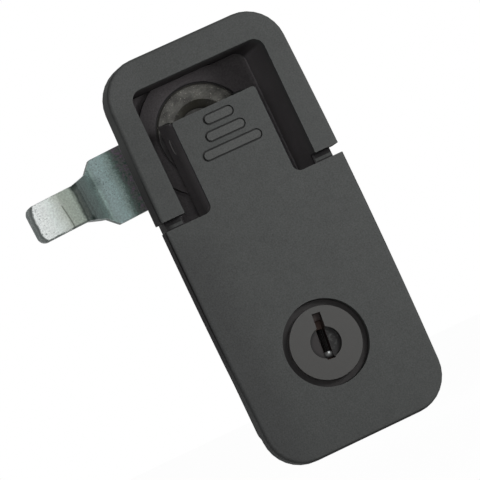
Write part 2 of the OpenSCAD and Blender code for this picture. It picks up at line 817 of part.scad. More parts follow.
module key_plug() {
    tang_y = tail_y + tail_t - 0.1;
    wall = 0.6;
    pocket = spring_l + 2 * (spring_r + spring_wire_r) - 0.5;
    chamber_w = wafer_w + 2 * wafer_gap;
    chamber_l = wafer_l + 2;
    color(black_cast) at_key() difference() {
        union() {
            rod_y(plug_face_r, plug_face_y, groove_y - run_c, $fn = 72);
            rod_y(plug_r, groove_y - run_c - eps, tail_y, $fn = 72);
            along_y(tail_y - eps, tang_y) square(tang_w, center = true);
        }
        rod_y(key_seat_r, plug_face_y - 1, plug_face_y + key_seat_h);
        along_y(plug_face_y - 1, plug_face_y + key_seat_h + 0.2)
            span(-slot_w / 2, -slot_down, slot_w / 2, slot_up);
        along_y(plug_face_y, plug_face_y + slot_depth)
            span(-slot_w / 2, -slot_down, slot_w / 2, min(slot_up, plug_r - wall));
        for (y = wafer_y) {
            along_y(y, y + wafer_t + wafer_gap) square([chamber_w, chamber_l], center = true);
            along_y(y, y + spring_y + spring_y) span(wafer_w / 2, -pocket / 2,
                wafer_w / 2 + 1.6, pocket / 2);
        }
        rod_y(tail_thread_r + tight_c, tail_y + tail_t - tail_thread_l - 1, tang_y + 1);
    }
}

module wafers() {
    color(brass) at_key() for (y = wafer_y)
        along_y(y + wafer_gap / 2, y + wafer_gap / 2 + wafer_t) difference() {
            square([wafer_w, wafer_l], center = true);
            square([slot_w + 0.3, wafer_l - wafer_w], center = true);
        }
}

module wafer_springs() {
    color(steel) at_key() for (y = wafer_y)
        translate([wafer_w / 2 + 2 * spring_r, y + spring_y, 0]) rotate([0, 90, 0])
            coil(spring_l, spring_r, spring_wire_r, 4);
}

module locking_tail() {
    color(steel) at_key() along_y(tail_y, tail_y + tail_t) difference() {
        union() {
            circle(tang_w * 0.86);
            span(0, -tail_w / 2, tail_reach, tail_w / 2);
        }
        square(tang_w + 0.1, center = true);
    }
}

module tail_screw() {
    head_y = tail_y + tail_t;
    slot_t = tail_head_t / 2;
    color(steel) translate([0, 0, key_z]) difference() {
        union() {
            rod_y(tail_thread_r, head_y - tail_thread_l, head_y + eps);
            rod_y(tail_head_r, head_y, head_y + tail_head_t);
        }
        along_y(head_y + slot_t, head_y + 2 * tail_head_t)
            square([1.7 * tail_head_r, slot_t], center = true);
    }
}

module panel_gasket() {
    color(rubber) difference() {
        along_y(flange_y, 0) difference() {
            intersection() {
                polygon(face_ring(gasket_inset));
                span(gasket_side - face_w / 2, -face_l, face_w / 2 - gasket_side, face_l);
            }
            round_span(-tub_w / 2 - side_c, tub_end_z - side_c, tub_w / 2 + side_c,
                tub_top_z + side_c, 5);
        }
        fixing_pillars(pillar_r + side_c, flange_y - 1, 1);
    }
}

housing();
lever();
hub();
cross_pin();
detent_balls();
detent_spring();
spindle();
spindle_seal();
spindle_clip();
stop_plate();
cam();
cam_washer();
cam_spring_washer();
cam_screw();
cylinder_body();
cylinder_clip();
key_plug();
wafers();
wafer_springs();
locking_tail();
tail_screw();
panel_gasket();
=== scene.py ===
"""Flush cabinet lock with a folding lever: castings, finishes, springs, threads, stage and camera."""
import json
from functools import cached_property, partial, reduce
from math import cos, pi, radians, sin, tan, tau

import bmesh
import bpy
from bpy.props import FloatProperty, FloatVectorProperty, PointerProperty
from bpy.types import Operator, Panel, PropertyGroup
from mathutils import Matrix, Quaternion, Vector


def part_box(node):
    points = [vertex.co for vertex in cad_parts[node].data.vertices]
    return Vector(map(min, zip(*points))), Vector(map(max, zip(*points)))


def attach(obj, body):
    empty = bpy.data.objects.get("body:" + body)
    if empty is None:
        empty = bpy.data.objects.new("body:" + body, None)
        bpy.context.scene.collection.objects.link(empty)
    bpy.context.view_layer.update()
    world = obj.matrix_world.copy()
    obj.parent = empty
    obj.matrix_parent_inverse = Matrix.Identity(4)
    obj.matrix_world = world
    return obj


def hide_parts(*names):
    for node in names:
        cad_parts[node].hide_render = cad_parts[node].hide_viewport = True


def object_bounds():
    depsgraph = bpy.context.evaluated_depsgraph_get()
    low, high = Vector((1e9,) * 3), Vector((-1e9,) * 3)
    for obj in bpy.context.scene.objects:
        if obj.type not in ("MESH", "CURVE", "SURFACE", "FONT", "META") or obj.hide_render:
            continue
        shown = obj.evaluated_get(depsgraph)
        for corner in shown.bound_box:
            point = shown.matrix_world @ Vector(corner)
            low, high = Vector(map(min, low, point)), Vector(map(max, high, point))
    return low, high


bl_info = {
    "name": "Pushbutton cabinet lock",
    "version": (1, 0, 0),
    "blender": (4, 5, 0),
    "location": "3D View > Sidebar > Lock",
    "description": "Rounds the castings of a cabinet lock and adds finishes, a stage and a camera",
    "category": "Object",
}

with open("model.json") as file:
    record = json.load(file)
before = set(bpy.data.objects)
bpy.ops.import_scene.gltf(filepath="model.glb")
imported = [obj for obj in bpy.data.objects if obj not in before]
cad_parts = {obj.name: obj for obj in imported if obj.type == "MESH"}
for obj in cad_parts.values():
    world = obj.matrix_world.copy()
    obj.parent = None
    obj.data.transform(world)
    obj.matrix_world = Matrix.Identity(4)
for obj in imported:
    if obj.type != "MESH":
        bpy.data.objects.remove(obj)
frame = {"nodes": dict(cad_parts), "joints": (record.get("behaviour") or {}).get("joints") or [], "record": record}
CAD_LOW, CAD_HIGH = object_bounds()
MM = 0.001
JOINTS = {joint["name"]: Vector(joint["pos_m"]) for joint in frame["joints"]}
SPINDLE, PIN, KEY = JOINTS["cam_turn"], JOINTS["lever_lift"], JOINTS["key_turn"]
FACE_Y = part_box("key_plug")[0].y
CAM_LEAN = radians(2.5)
SLOT_LEAN = radians(6)
HALF_W = CAD_HIGH.x
# Heights where the frame's arms end and the lever's shoulders begin
ARM_END, SHOULDER = 14.6 * MM, 12.1 * MM


# Settings that a user would change

class LockFinishes(PropertyGroup):
    """Colours of the lock's finishes"""
    coat: FloatVectorProperty(
        name="Powder coat", description="Colour of the matt black powder coat",
        subtype="COLOR", size=3, min=0, max=1, default=(0.064, 0.0666, 0.0652))
    plug: FloatVectorProperty(
        name="Key plug", description="Colour of the satin black key plug",
        subtype="COLOR", size=3, min=0, max=1, default=(0.0615, 0.061, 0.059))
    raw_zinc: FloatVectorProperty(
        name="Raw zinc", description="Colour of the uncoated die-cast zinc",
        subtype="COLOR", size=3, min=0, max=1, default=(0.1, 0.099, 0.085))
    plate: FloatVectorProperty(
        name="Zinc plating", description="Bright colour of the small parts' plating",
        subtype="COLOR", size=3, min=0, max=1, default=(0.444, 0.468, 0.462))
    plate_dull: FloatVectorProperty(
        name="Dull zinc plating", description="Dull colour of the small parts' plating",
        subtype="COLOR", size=3, min=0, max=1, default=(0.31, 0.4, 0.4))
    steel: FloatVectorProperty(
        name="Steel", description="Colour of the plain steel parts",
        subtype="COLOR", size=3, min=0, max=1, default=(0.42, 0.43, 0.44))
    # The wafers' colour is painted dark, as the shade inside the key slot
    brass: FloatVectorProperty(
        name="Brass", description="Colour of the wafers",
        subtype="COLOR", size=3, min=0, max=1, default=(0.034, 0.024, 0.021))
    rubber: FloatVectorProperty(
        name="Rubber", description="Colour of the gasket and the seal",
        subtype="COLOR", size=3, min=0, max=1, default=(0.02, 0.02, 0.021))


class LockEdges(PropertyGroup):
    """Radii that the tools or the coat leave on the edges"""
    cast: FloatProperty(
        name="Cast edge", description="Rounding of the edges of the coated castings",
        subtype="DISTANCE", min=0.00005, max=0.001, default=0.00035)
    raw: FloatProperty(
        name="Raw edge", description="Rounding of the edges of the uncoated castings",
        subtype="DISTANCE", min=0.00005, max=0.001, default=0.00025)
    stamped: FloatProperty(
        name="Stamped edge", description="Rounding of the edges of the stamped strips",
        subtype="DISTANCE", min=0.00005, max=0.001, default=0.0003)
    turned: FloatProperty(
        name="Turned edge", description="Rounding of the edges of the turned parts",
        subtype="DISTANCE", min=0.00002, max=0.0005, default=0.00012)
    corner: FloatProperty(
        name="End corner", description="Rounding of the outer corners where frame and lever meet",
        subtype="DISTANCE", min=0.0001, max=0.002, default=0.0008)
    tip: FloatProperty(
        name="Cam tip", description="Rounding of the corners at the cam's tip",
        subtype="DISTANCE", min=0.0001, max=0.003, default=0.0012)


class LockStage(PropertyGroup):
    """Floor, lamps and camera"""
    floor_reach: FloatProperty(
        name="Floor reach", description="Half the width of the floor",
        subtype="DISTANCE", min=1, max=50, default=12)
    fill: FloatProperty(
        name="Fill light", description="Strength of the soft light from the front",
        min=0, max=2, default=0.25)
    side_fill: FloatProperty(
        name="Side fill light", description="Strength of the soft light from the sides",
        min=0, max=2, default=0.06)
    back_fill: FloatProperty(
        name="Back fill light", description="Strength of the soft light from behind",
        min=0, max=2, default=0.45)
    key: FloatProperty(
        name="Key lamp", description="Power of the near lamp at the upper right",
        subtype="POWER", min=0, max=50, default=0.51)
    front: FloatProperty(
        name="Front lamp", description="Power of the lamp that lights the inside of the recess",
        subtype="POWER", min=0, max=50, default=2.0)
    azimuth: FloatProperty(
        name="Azimuth", description="Direction of the camera round the lock, from straight in front",
        subtype="ANGLE", default=radians(-14))
    elevation: FloatProperty(
        name="Elevation", description="Height of the camera above the horizon",
        subtype="ANGLE", default=radians(-2))
    roll: FloatProperty(
        name="Roll", description="Turn of the camera about its own line of sight",
        subtype="ANGLE", default=radians(-25.4))
    distance: FloatProperty(
        name="Distance", description="Distance of the camera from the point it looks at",
        subtype="DISTANCE", min=0.2, max=5, default=1.15)
    width: FloatProperty(
        name="Framed width", description="Width that the picture spans at that point",
        subtype="DISTANCE", min=0.05, max=1, default=0.1183)
    aim: FloatVectorProperty(
        name="Aim", description="Point in the middle of the picture",
        subtype="XYZ", unit="LENGTH", size=3, default=(-0.008655, -0.008, 0.002786))


class LockSettings(PropertyGroup):
    """All settings of the lock"""
    finishes: PointerProperty(type=LockFinishes)
    edges: PointerProperty(type=LockEdges)
    stage: PointerProperty(type=LockStage)


# Meshes

def with_values(thing, **values):
    """Sets some attributes of a thing and hands it back."""
    for key, value in values.items():
        setattr(thing, key, value)
    return thing


def new_object(name, data):
    obj = bpy.data.objects.new(name, data)
    bpy.context.scene.collection.objects.link(obj)
    return obj


def object_from(name, work):
    """Closes a bmesh and makes it an object."""
    mesh = bpy.data.meshes.new(name)
    work.to_mesh(mesh)
    work.free()
    return new_object(name, mesh)


def closed_form(name, work):
    """Turns the faces of a closed form outwards and makes it an object."""
    bmesh.ops.recalc_face_normals(work, faces=work.faces)
    return object_from(name, work)


def turns(count):
    return [tau * k / count for k in range(count)]


def skin(work, rings):
    """Faces from each ring of points to the next, where a ring may also be a single point."""
    for first, second in zip(rings, rings[1:]):
        count = max(len(first), len(second))
        for k in range(count):
            after = (k + 1) % count
            corners = [first[k % len(first)], first[after % len(first)],
                       second[after % len(second)], second[k % len(second)]]
            work.faces.new(list(dict.fromkeys(corners)))


def closed_ring(name, outline, middle, segments=64):
    """A ring about the Y axis: a closed outline of (along, radius) swept round it."""
    work = bmesh.new()
    rings = [[work.verts.new((middle.x + radius * cos(a), middle.y + along,
                              middle.z + radius * sin(a))) for along, radius in outline]
             for a in turns(segments)]
    skin(work, rings + rings[:1])
    return closed_form(name, work)


def runs_along_y(edge):
    along = edge.verts[1].co - edge.verts[0].co
    return abs(along.y) > 0.5 * MM and abs(along.x) + abs(along.z) < 0.02 * MM


def end_corner(height):
    """Test of the corners at one height on both long sides of the face."""
    return lambda place: abs(place.z - height) < 0.1 * MM and abs(place.x) > HALF_W - 0.1 * MM


def merged_copy(node, name, corners=()):
    """A clean copy of a CAD node's mesh: doubles merged, flat faces joined, corners rounded.

    Each corner is a test of an edge that runs along Y and the radius that rounds it.
    """
    source = frame["nodes"][node].data
    mesh = bpy.data.meshes.new(name)
    mesh.from_pydata([v.co[:] for v in source.vertices], [], [p.vertices[:] for p in source.polygons])
    work = bmesh.new()
    work.from_mesh(mesh)
    bmesh.ops.remove_doubles(work, verts=work.verts, dist=2e-6)
    bmesh.ops.dissolve_degenerate(work, edges=work.edges, dist=1e-6)
    bmesh.ops.dissolve_limit(work, angle_limit=radians(0.4), verts=work.verts, edges=work.edges)
    for chosen, radius in corners:
        edges = [edge for edge in work.edges if runs_along_y(edge) and chosen(edge.verts[0].co)]
        bmesh.ops.bevel(work, geom=edges, offset=radius, offset_type="OFFSET", segments=5,
                        profile=0.5, affect="EDGES", clamp_overlap=True)
    return object_from(name, work)


def settle(obj, smooth_angle=38):
    """Applies the object's modifiers and smooths it, apart from its sharp edges."""
    bpy.context.view_layer.update()
    graph = bpy.context.evaluated_depsgraph_get()
    mesh = bpy.data.meshes.new_from_object(obj.evaluated_get(graph))
    obj.modifiers.clear()
    obj.data = mesh
    mesh.name = obj.name
    mesh.shade_smooth()
    mesh.set_sharp_from_angle(angle=radians(smooth_angle))
    with_values(obj.modifiers.new("Even normals", "WEIGHTED_NORMAL"), keep_sharp=True, weight=80)
    return obj


def rounded(node, name, radius, segments=3, corners=(), shift=None):
    """The CAD node's own shape with its edges rounded; shift may move its points a little."""
    obj = merged_copy(node, name, corners)
    if shift:
        for vertex in obj.data.vertices:
            vertex.co = shift(vertex.co.copy())
    with_values(obj.modifiers.new("Rounded edges", "BEVEL"), width=radius, segments=segments,
                limit_method="ANGLE", angle_limit=radians(30), use_clamp_overlap=True)
    return settle(obj)


def dress(obj, material, body, nodes):
    """Gives a new piece its finish, its body and the CAD nodes that it stands for."""
    obj.data.materials.clear()
    obj.data.materials.append(material)
    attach(obj, body)
    if nodes:
        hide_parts(*nodes)
    return obj


def piece_from(node, name, radius, material, body, slot, **rounding):
    """A new piece that is a CAD node with its edges rounded and a finish."""
    return dress(rounded(node, name, radius, **rounding), material, body, [node])


# Coils: one node tree makes the springs and the turns of thread

COIL_INPUTS = {"Geometry": "Geometry", "Coil Radius": "Float", "Wire Radius": "Float",
               "Length": "Float", "Turns": "Float", "Turn": "Vector", "Finish": "Material"}


def coil_tree():
    """A coil of wire at every point of the given mesh, turned as asked."""
    if "Coils" in bpy.data.node_groups:
        return bpy.data.node_groups["Coils"]
    tree = bpy.data.node_groups.new("Coils", "GeometryNodeTree")
    for label, kind in COIL_INPUTS.items():
        tree.interface.new_socket(label, in_out="INPUT", socket_type="NodeSocket" + kind)
    tree.interface.new_socket("Geometry", in_out="OUTPUT", socket_type="NodeSocketGeometry")
    t = Tree(tree)
    given = t.add("NodeGroupInput").outputs
    spiral = t.add("GeometryNodeCurveSpiral", {
        "Resolution": 24, "Rotations": given["Turns"], "Start Radius": given["Coil Radius"],
        "End Radius": given["Coil Radius"], "Height": given["Length"]})
    wire = t.add("GeometryNodeCurvePrimitiveCircle", {"Resolution": 8, "Radius": given["Wire Radius"]})
    tube = t.add("GeometryNodeCurveToMesh", {
        "Curve": spiral.outputs["Curve"], "Profile Curve": wire.outputs["Curve"], "Fill Caps": True})
    placed = t.add("GeometryNodeInstanceOnPoints", {
        "Points": given["Geometry"], "Instance": tube.outputs["Mesh"], "Rotation": given["Turn"]})
    whole = t.add("GeometryNodeRealizeInstances", {"Geometry": placed.outputs["Instances"]})
    finish = t.add("GeometryNodeSetMaterial", {
        "Geometry": whole.outputs["Geometry"], "Material": given["Finish"]})
    t.add("NodeGroupOutput", {"Geometry": finish.outputs["Geometry"]})
    return tree


def coils(name, starts, material, body, nodes, slot, **sizes):
    """One mesh of coils that start at the given points."""
    mesh = bpy.data.meshes.new(name)
    mesh.from_pydata([tuple(start) for start in starts], [], [])
    obj = new_object(name, mesh)
    modifier = obj.modifiers.new("Coils", "NODES")
    modifier.node_group = coil_tree()
    values = {key.replace("_", " "): value for key, value in sizes.items()}
    values["Finish"] = material
    for item in modifier.node_group.interface.items_tree:
        if item.in_out == "INPUT" and item.name in values:
            modifier[item.identifier] = values[item.name]
    dress(settle(obj), material, body, nodes)


# Shader building blocks

class Tree:
    """Short hand for adding and joining nodes."""

    def __init__(self, tree):
        self.tree = tree
        self.nodes = tree.nodes

    @cached_property
    def place(self):
        """The object's own coordinates."""
        return self.add("ShaderNodeTexCoord").outputs["Object"]

    def join(self, source, target):
        self.tree.links.new(source, target)

    def add(self, kind, inputs=(), **values):
        """A new node. Inputs has a value, or a socket to join, for its sockets' names or numbers."""
        node = with_values(self.nodes.new(kind), **values)
        for key, value in dict(inputs).items():
            if isinstance(value, bpy.types.NodeSocket):
                self.join(value, node.inputs[key])
            else:
                node.inputs[key].default_value = value
        return node

    def group(self, group, **values):
        """The outputs of a node group with the given inputs."""
        inputs = {key.replace("_", " "): value for key, value in values.items()}
        return self.add("ShaderNodeGroup", inputs, node_tree=group).outputs

    def math(self, operation, *values):
        return self.add("ShaderNodeMath", enumerate(values), operation=operation).outputs[0]

    def dot(self, a, b):
        return self.add("ShaderNodeVectorMath", {0: a, 1: b}, operation="DOT_PRODUCT").outputs["Value"]

    def times(self, *values):
        return reduce(partial(self.math, "MULTIPLY"), values)

    def plus(self, *values):
        return reduce(partial(self.math, "ADD"), values)

    def most(self, *values):
        return reduce(partial(self.math, "MAXIMUM"), values)

    def minus(self, a, b):
        return self.math("SUBTRACT", a, b)

    def noise(self, scale, detail=3.0, roughness=0.55, place=None):
        inputs = {"Vector": place or self.place, "Scale": scale, "Detail": detail, "Roughness": roughness}
        return self.add("ShaderNodeTexNoise", inputs).outputs["Fac"]

    def spread(self, value, low, high, to_low=0.0, to_high=1.0):
        """Goes from 0 to 1, or between other ends, as a value goes from low to high."""
        inputs = enumerate((value, low, high, to_low, to_high))
        return self.add("ShaderNodeMapRange", inputs, clamp=True).outputs[0]

    def ramp(self, value, low, high, to_low=0.0, to_high=1.0):
        """As spread, between two places in mm."""
        return self.spread(value, low * MM, high * MM, to_low, to_high)

    def between(self, value, low, high, soft):
        """1 between two places and 0 outside them, in mm."""
        return self.times(self.ramp(value, low - soft, low), self.ramp(value, high + soft, high))

    def blend(self, factor, a, b, mode="MIX"):
        a, b = (v if isinstance(v, bpy.types.NodeSocket) else (*v, 1.0) for v in (a, b))
        inputs = {0: factor, 6: a, 7: b}
        return self.add("ShaderNodeMix", inputs, data_type="RGBA", blend_type=mode).outputs[2]

    def tinted(self, colour, tone=None):
        """A colour times a tone, by default the grain's."""
        grey = self.add("ShaderNodeCombineColor", enumerate([tone or self.tone] * 3)).outputs[0]
        return self.blend(1.0, colour, grey, "MULTIPLY")

    def axes(self, place=None):
        """X, Y and Z of a place."""
        return list(self.add("ShaderNodeSeparateXYZ", {0: place or self.place}).outputs)

    def axes_from(self, centre, lean=0.0):
        """X and Z measured from a centre, along axes that lean about Y, and the object's own Y."""
        inputs = {"Vector": self.place, "Location": (centre.x, 0, centre.z), "Rotation": (0, lean, 0)}
        return self.axes(self.add("ShaderNodeMapping", inputs, vector_type="TEXTURE").outputs[0])

    def distance(self, x, z):
        return self.math("SQRT", self.plus(self.times(x, x), self.times(z, z)))

    def spot(self, x, z, centre, inner, outer):
        """1 near a centre and 0 beyond it, in mm."""
        away = self.distance(self.minus(x, centre[0] * MM), self.minus(z, centre[1] * MM))
        return self.ramp(away, outer, inner)


def node_group(name, inputs, outputs):
    """Turns a function that gives a shader group's outputs into one that makes the group once."""
    def wrap(fill):
        def make():
            if name in bpy.data.node_groups:
                return bpy.data.node_groups[name]
            group = bpy.data.node_groups.new(name, "ShaderNodeTree")
            for label, default in inputs.items():
                group.interface.new_socket(
                    label, in_out="INPUT", socket_type="NodeSocketFloat").default_value = default
            for label in outputs:
                group.interface.new_socket(label, in_out="OUTPUT", socket_type="NodeSocketFloat")
            t = Tree(group)
            given = t.add("NodeGroupInput").outputs
            t.add("NodeGroupOutput", zip(outputs, fill(t, *(given[label] for label in inputs))))
            return group
        return make
    return wrap


@node_group("Fine grain", {"Grain Size": 0.3, "Tone Depth": 0.05}, ("Tone", "Height"))
def grain_group(t, size, depth):
    """Fine two-scale grain: a tone round 1, and a height for the bump."""
    per_metre = t.math("DIVIDE", 1000.0, size)
    fine = t.noise(per_metre, 2.0, 0.6)
    coarse = t.noise(t.times(per_metre, 0.11), 3.0, 0.5)
    swing = t.plus(t.minus(fine, 0.5), t.times(t.minus(coarse, 0.5), 0.15))
    return t.plus(t.times(swing, depth), 1.0), fine


@node_group("Worn edges", {"Reach": 0.0004, "Break Up": 0.5}, ("Mask",))
def edge_group(t, reach, break_up):
    """Mask of worn edges: where a slightly rounded normal leaves the true one."""
    soft = t.add("ShaderNodeBevel", {"Radius": reach}, samples=4).outputs[0]
    true = t.add("ShaderNodeNewGeometry").outputs["Normal"]
    edge = t.spread(t.dot(soft, true), 0.995, 0.9)
    patch = t.spread(t.noise(700.0, 4.0), 0.35, 0.7, t.minus(1.0, break_up), 1.0)
    return (t.times(edge, patch),)


@node_group("Grime and painted crevice shade", {"Reach": 0.0008, "Open": 0.85, "Closed": 0.4}, ("Mask",))
def grime_shade_group(t, reach, open_above, closed_below):
    """Mask of dirt and painted shade in grooves, corners and gaps, from ambient occlusion."""
    cover = t.add("ShaderNodeAmbientOcclusion", {"Distance": reach}, samples=8)
    rough = t.times(t.minus(t.noise(900.0), 0.5), 0.2)
    return (t.spread(t.plus(cover.outputs["AO"], rough), open_above, closed_below),)


def surface(title, rough=None, metallic=0.0, specular=0.5, grain=(0.5, 0.5), bump=(0.03, 0.6)):
    """Turns a function that gives a colour into one that makes its material once.

    rough is the roughness in the grain's lows and on its highs, or None where the function joins
    its own. grain is the grain's size in mm and the depth of its tone, and bump its height in mm
    and the bump's strength.
    """
    def wrap(colour):
        def make():
            if title in bpy.data.materials:
                return bpy.data.materials[title]
            material = bpy.data.materials.new(title)
            material.use_nodes = True
            t = Tree(material.node_tree)
            t.shader = t.nodes["Principled BSDF"].inputs
            t.shader["Metallic"].default_value = metallic
            t.shader["Specular IOR Level"].default_value = specular
            t.tone, t.height = t.group(grain_group(), Grain_Size=grain[0], Tone_Depth=grain[1])
            t.join(colour(t), t.shader["Base Color"])
            if rough:
                t.join(t.spread(t.height, 0.3, 0.7, *rough), t.shader["Roughness"])
            relief = {"Distance": bump[0] * MM, "Strength": bump[1], "Height": t.height}
            t.join(t.add("ShaderNodeBump", relief).outputs[0], t.shader["Normal"])
            return material
        return make
    return wrap


def settings():
    return bpy.context.scene.lock_settings


# Finishes

# Painted fill light that lifts the shade on the lever's skirts and the recess's walls, and a lighter one for deep
# inside
PAINTED_FILL, DEEP_PAINTED_FILL = (0.17, 0.16, 0.166), (0.25, 0.235, 0.243)
COAT = {"rough": (0.66, 0.8), "specular": 0.08, "grain": (0.36, 0.9), "bump": (0.02, 0.6)}


def coat_colour(t, base, side, grime_shade_colour):
    """The coat's tone: grain over all, wear on the edges, dirt and painted shade in corners, and painted shade on
    the long sides.
    """
    edges = t.group(edge_group(), Reach=0.0005, Break_Up=0.5)[0]
    # Dirt and painted shade where ambient occlusion finds grooves, corners and gaps
    grime_and_shade = t.group(grime_shade_group(), Reach=0.0008, Open=0.9, Closed=0.45)[0]
    # Painted shade on the long sides of the face
    shaded_sides = t.blend(t.spread(side, HALF_W - 0.45 * MM, HALF_W - 0.15 * MM), base,
                      (0.0045, 0.0042, 0.0045))
    patchy = t.spread(t.noise(240.0), 0.3, 0.7, 0.975, 1.025)
    toned = t.tinted(shaded_sides, t.times(t.tone, patchy))
    worn = t.blend(t.times(edges, 0.08), toned, (0.12, 0.12, 0.12))
    return t.blend(t.times(grime_and_shade, 0.75), worn, grime_shade_colour)


@surface("Matt black coat of the lever", **COAT)
def lever_coat(t):
    """Painted fill light lifts the shade on the outsides of the lever's skirts; the grip bars' tops get a painted
    sheen, and the lower left gets painted shade.
    """
    x, y, z = t.axes()
    side = t.math("ABSOLUTE", x)
    # Painted fill light on the outsides of the skirts, lighter deeper in
    on_skirt = t.times(t.between(side, 11.4, 12.2, 0.2), t.ramp(y, -7.6, -6.4),
                       t.ramp(z, 24, 34, 1.0, 0.75))
    fill_tone = t.blend(t.ramp(y, 1.0, 8.0), PAINTED_FILL, DEEP_PAINTED_FILL)
    lifted = t.blend(on_skirt, settings().finishes.coat, fill_tone)
    # Painted sheen on the tops of the raised grip bars
    painted_sheen = t.blend(t.spread(y, CAD_LOW.y + 0.05 * MM, CAD_LOW.y + 0.2 * MM, 0.8, 0.0), lifted,
                     (0.077, 0.079, 0.077))
    # Painted shade on the lower left of the lever
    left = t.times(t.ramp(x, -12, -20, 0.0, 0.5), t.ramp(z, 12, 4))
    return coat_colour(t, t.blend(left, painted_sheen, (0.046, 0.0465, 0.047)), side,
                       (0.02, 0.0195, 0.0195))


@surface("Matt black coat of the housing", **COAT)
def housing_coat(t):
    """Painted fill light on the recess's walls and floor, painted shade on the ring's left and in the gap between
    frame and lever, and painted light on the ring's step and on the upper left corner.
    """
    x, y, z = t.axes()
    side, up = t.math("ABSOLUTE", x), t.minus(z, SPINDLE.z)
    out = t.distance(x, up)
    inside = t.times(t.ramp(y, -7.5, 2.0), t.ramp(side, 18.9, 18.5))
    # A slightly lighter, purpler tone inside the recess
    deep_tone = t.blend(inside, settings().finishes.coat, (0.068, 0.0625, 0.065))
    # Painted fill light on the walls, and on the floor beside the lever's skirts, which hide it from above
    wall = t.most(t.ramp(side, 17.8, 18.2, 0.0, 0.9), t.ramp(side, 16.8, 17.4, 0.0, 0.1))
    hidden = t.ramp(up, 3.0, 0.0)
    by_left = t.times(t.ramp(x, -10.0, -12.0, 0.0, 0.45), hidden)
    by_right = t.times(t.ramp(side, 14.5, 12.0, 0.0, 0.7), hidden, t.ramp(x, 0.0, 1.0))
    deep = t.times(t.ramp(side, 16.8, 18.0), t.ramp(y, 2.0, 9.0))
    lifted = t.blend(t.times(inside, t.most(wall, by_left, by_right)), deep_tone,
                    t.blend(deep, PAINTED_FILL, DEEP_PAINTED_FILL))
    # Painted shade on the left of the ring, and painted light on its step
    left = t.times(t.ramp(x, -6.0, -13.0, 0.0, 0.6), t.between(y, 9.0, 12.2, 0.5),
                   t.ramp(up, 0.0, 4.0, 0.3, 1.0))
    shadowed = t.blend(left, lifted, (0.018, 0.0165, 0.0172))
    # Painted light that lifts the shade on the ring's step, lightest on its wall
    step = t.times(t.between(out, 16.6, 17.3, 0.2), t.between(y, 11.6, 13.6, 0.1),
                   t.ramp(up, 0.0, -3.0))
    step_fill = t.blend(t.ramp(out, 16.75, 16.9), (0.15, 0.14, 0.145), (0.075, 0.07, 0.073))
    step_lifted = t.blend(step, shadowed, step_fill)
    # Painted shade: dark lines in the gap between frame and lever, at its brink and at its left end
    stripes = t.times(t.most(t.between(z, 13.45, 14.9, 0.15), t.between(z, 11.0, 12.55, 0.15)),
                      t.ramp(side, 18.6, 19.0, 0.0, 0.85))
    brink = t.times(t.between(side, 17.9, 18.7, 0.1), t.ramp(z, 14.9, 14.6, 0.0, 0.85),
                    t.between(y, -6.8, -2.8, 0.4))
    end = t.times(t.ramp(x, -21.0, -22.6, 0.0, 0.8), t.between(z, 11.0, 14.6, 0.3))
    gap_shaded = t.blend(t.times(t.ramp(y, -7.4, -6.8), t.most(stripes, brink, end)), step_lifted,
                    (0.014, 0.0128, 0.0136))
    # Painted light on the upper left corner of the face
    lit_corner = t.times(t.spot(x, z, (-20.5, 50.0), 3.0, 9.0), t.ramp(y, -7.4, -7.8, 0.0, 0.6))
    # Inside the recess the colour of the dirt and painted shade is lighter
    return coat_colour(t, t.blend(lit_corner, gap_shaded, (0.078, 0.08, 0.079)), side,
                       t.blend(inside, (0.009, 0.008, 0.009), (0.05, 0.047, 0.049)))


@surface("Satin black plug", rough=(0.4, 0.52), specular=0.15, grain=(0.6, 0.16), bump=(0.01, 0.4))
def plug_black(t):
    """Satin black face; a painted reflection on the seat, lighter on its left and dark with streaks on its right;
    painted shade along the seat's rim and in the key slot; painted light on the plug's side wall.
    """
    x, y, z = t.axes_from(KEY, SLOT_LEAN)
    out, depth = t.distance(x, z), t.minus(y, FACE_Y)
    # Painted reflection, dark with lighter streaks, on the seat's right
    dark_reflection = t.blend(t.spread(t.noise(1300.0, 2.0), 0.5, 0.62), (0.01, 0.0098, 0.0098),
                      (0.034, 0.035, 0.034))
    # Painted reflection, lighter on the seat's left
    across = t.plus(x, t.times(t.noise(900.0), 0.8 * MM))
    painted_sheen = t.blend(t.ramp(across, -1.3, -0.3), (0.025, 0.0222, 0.0225), dark_reflection)
    # Painted shade along the seat's rim
    rim = t.times(t.ramp(out, 2.95, 3.4, 0.0, 0.8), t.ramp(t.plus(z, x), 4.2, 3.4))
    outlined = t.blend(rim, painted_sheen, (0.01, 0.0095, 0.0095))
    # Painted light on the plug's shaded side wall
    wall = t.times(t.ramp(out, 9.1, 9.2, 0.0, 0.8), t.ramp(depth, 0.2, 0.5))
    sides = t.blend(wall, outlined, (0.15, 0.14, 0.14))
    seat = t.blend(t.ramp(depth, 0.35, 1.1), t.tinted(settings().finishes.plug), sides)
    # Painted shade in the key slot
    slot = t.times(t.ramp(t.math("ABSOLUTE", x), 1.25, 1.05), t.ramp(depth, 0.1, 0.5))
    slotted = t.blend(slot, seat, (0.022, 0.015, 0.014))
    # Dirt and painted shade in the slot, the seat and the groove round the plug
    grime_and_shade = t.group(grime_shade_group(), Reach=0.0005, Open=0.9, Closed=0.45)[0]
    return t.blend(t.times(grime_and_shade, 0.7), slotted, (0.006, 0.006, 0.006))


@surface("Sprung leaf with a painted highlight", rough=(0.4, 0.6), specular=0.3, grain=(0.4, 1.2))
def leaf_finish(t):
    """Dull dark steel with a grey painted sheen and one small painted highlight."""
    x, _, z = t.axes_from(KEY, SLOT_LEAN)
    # Painted sheen round the highlight
    lip = t.blend(t.spot(x, z, (-0.1, -2.75), 0.2, 0.95), (0.015, 0.015, 0.015),
                  (0.085, 0.087, 0.085))
    # Painted highlight: the small bright spot
    return t.tinted(t.blend(t.spot(x, z, (0.15, -2.45), 0.05, 0.36), lip, (0.62, 0.64, 0.64)))


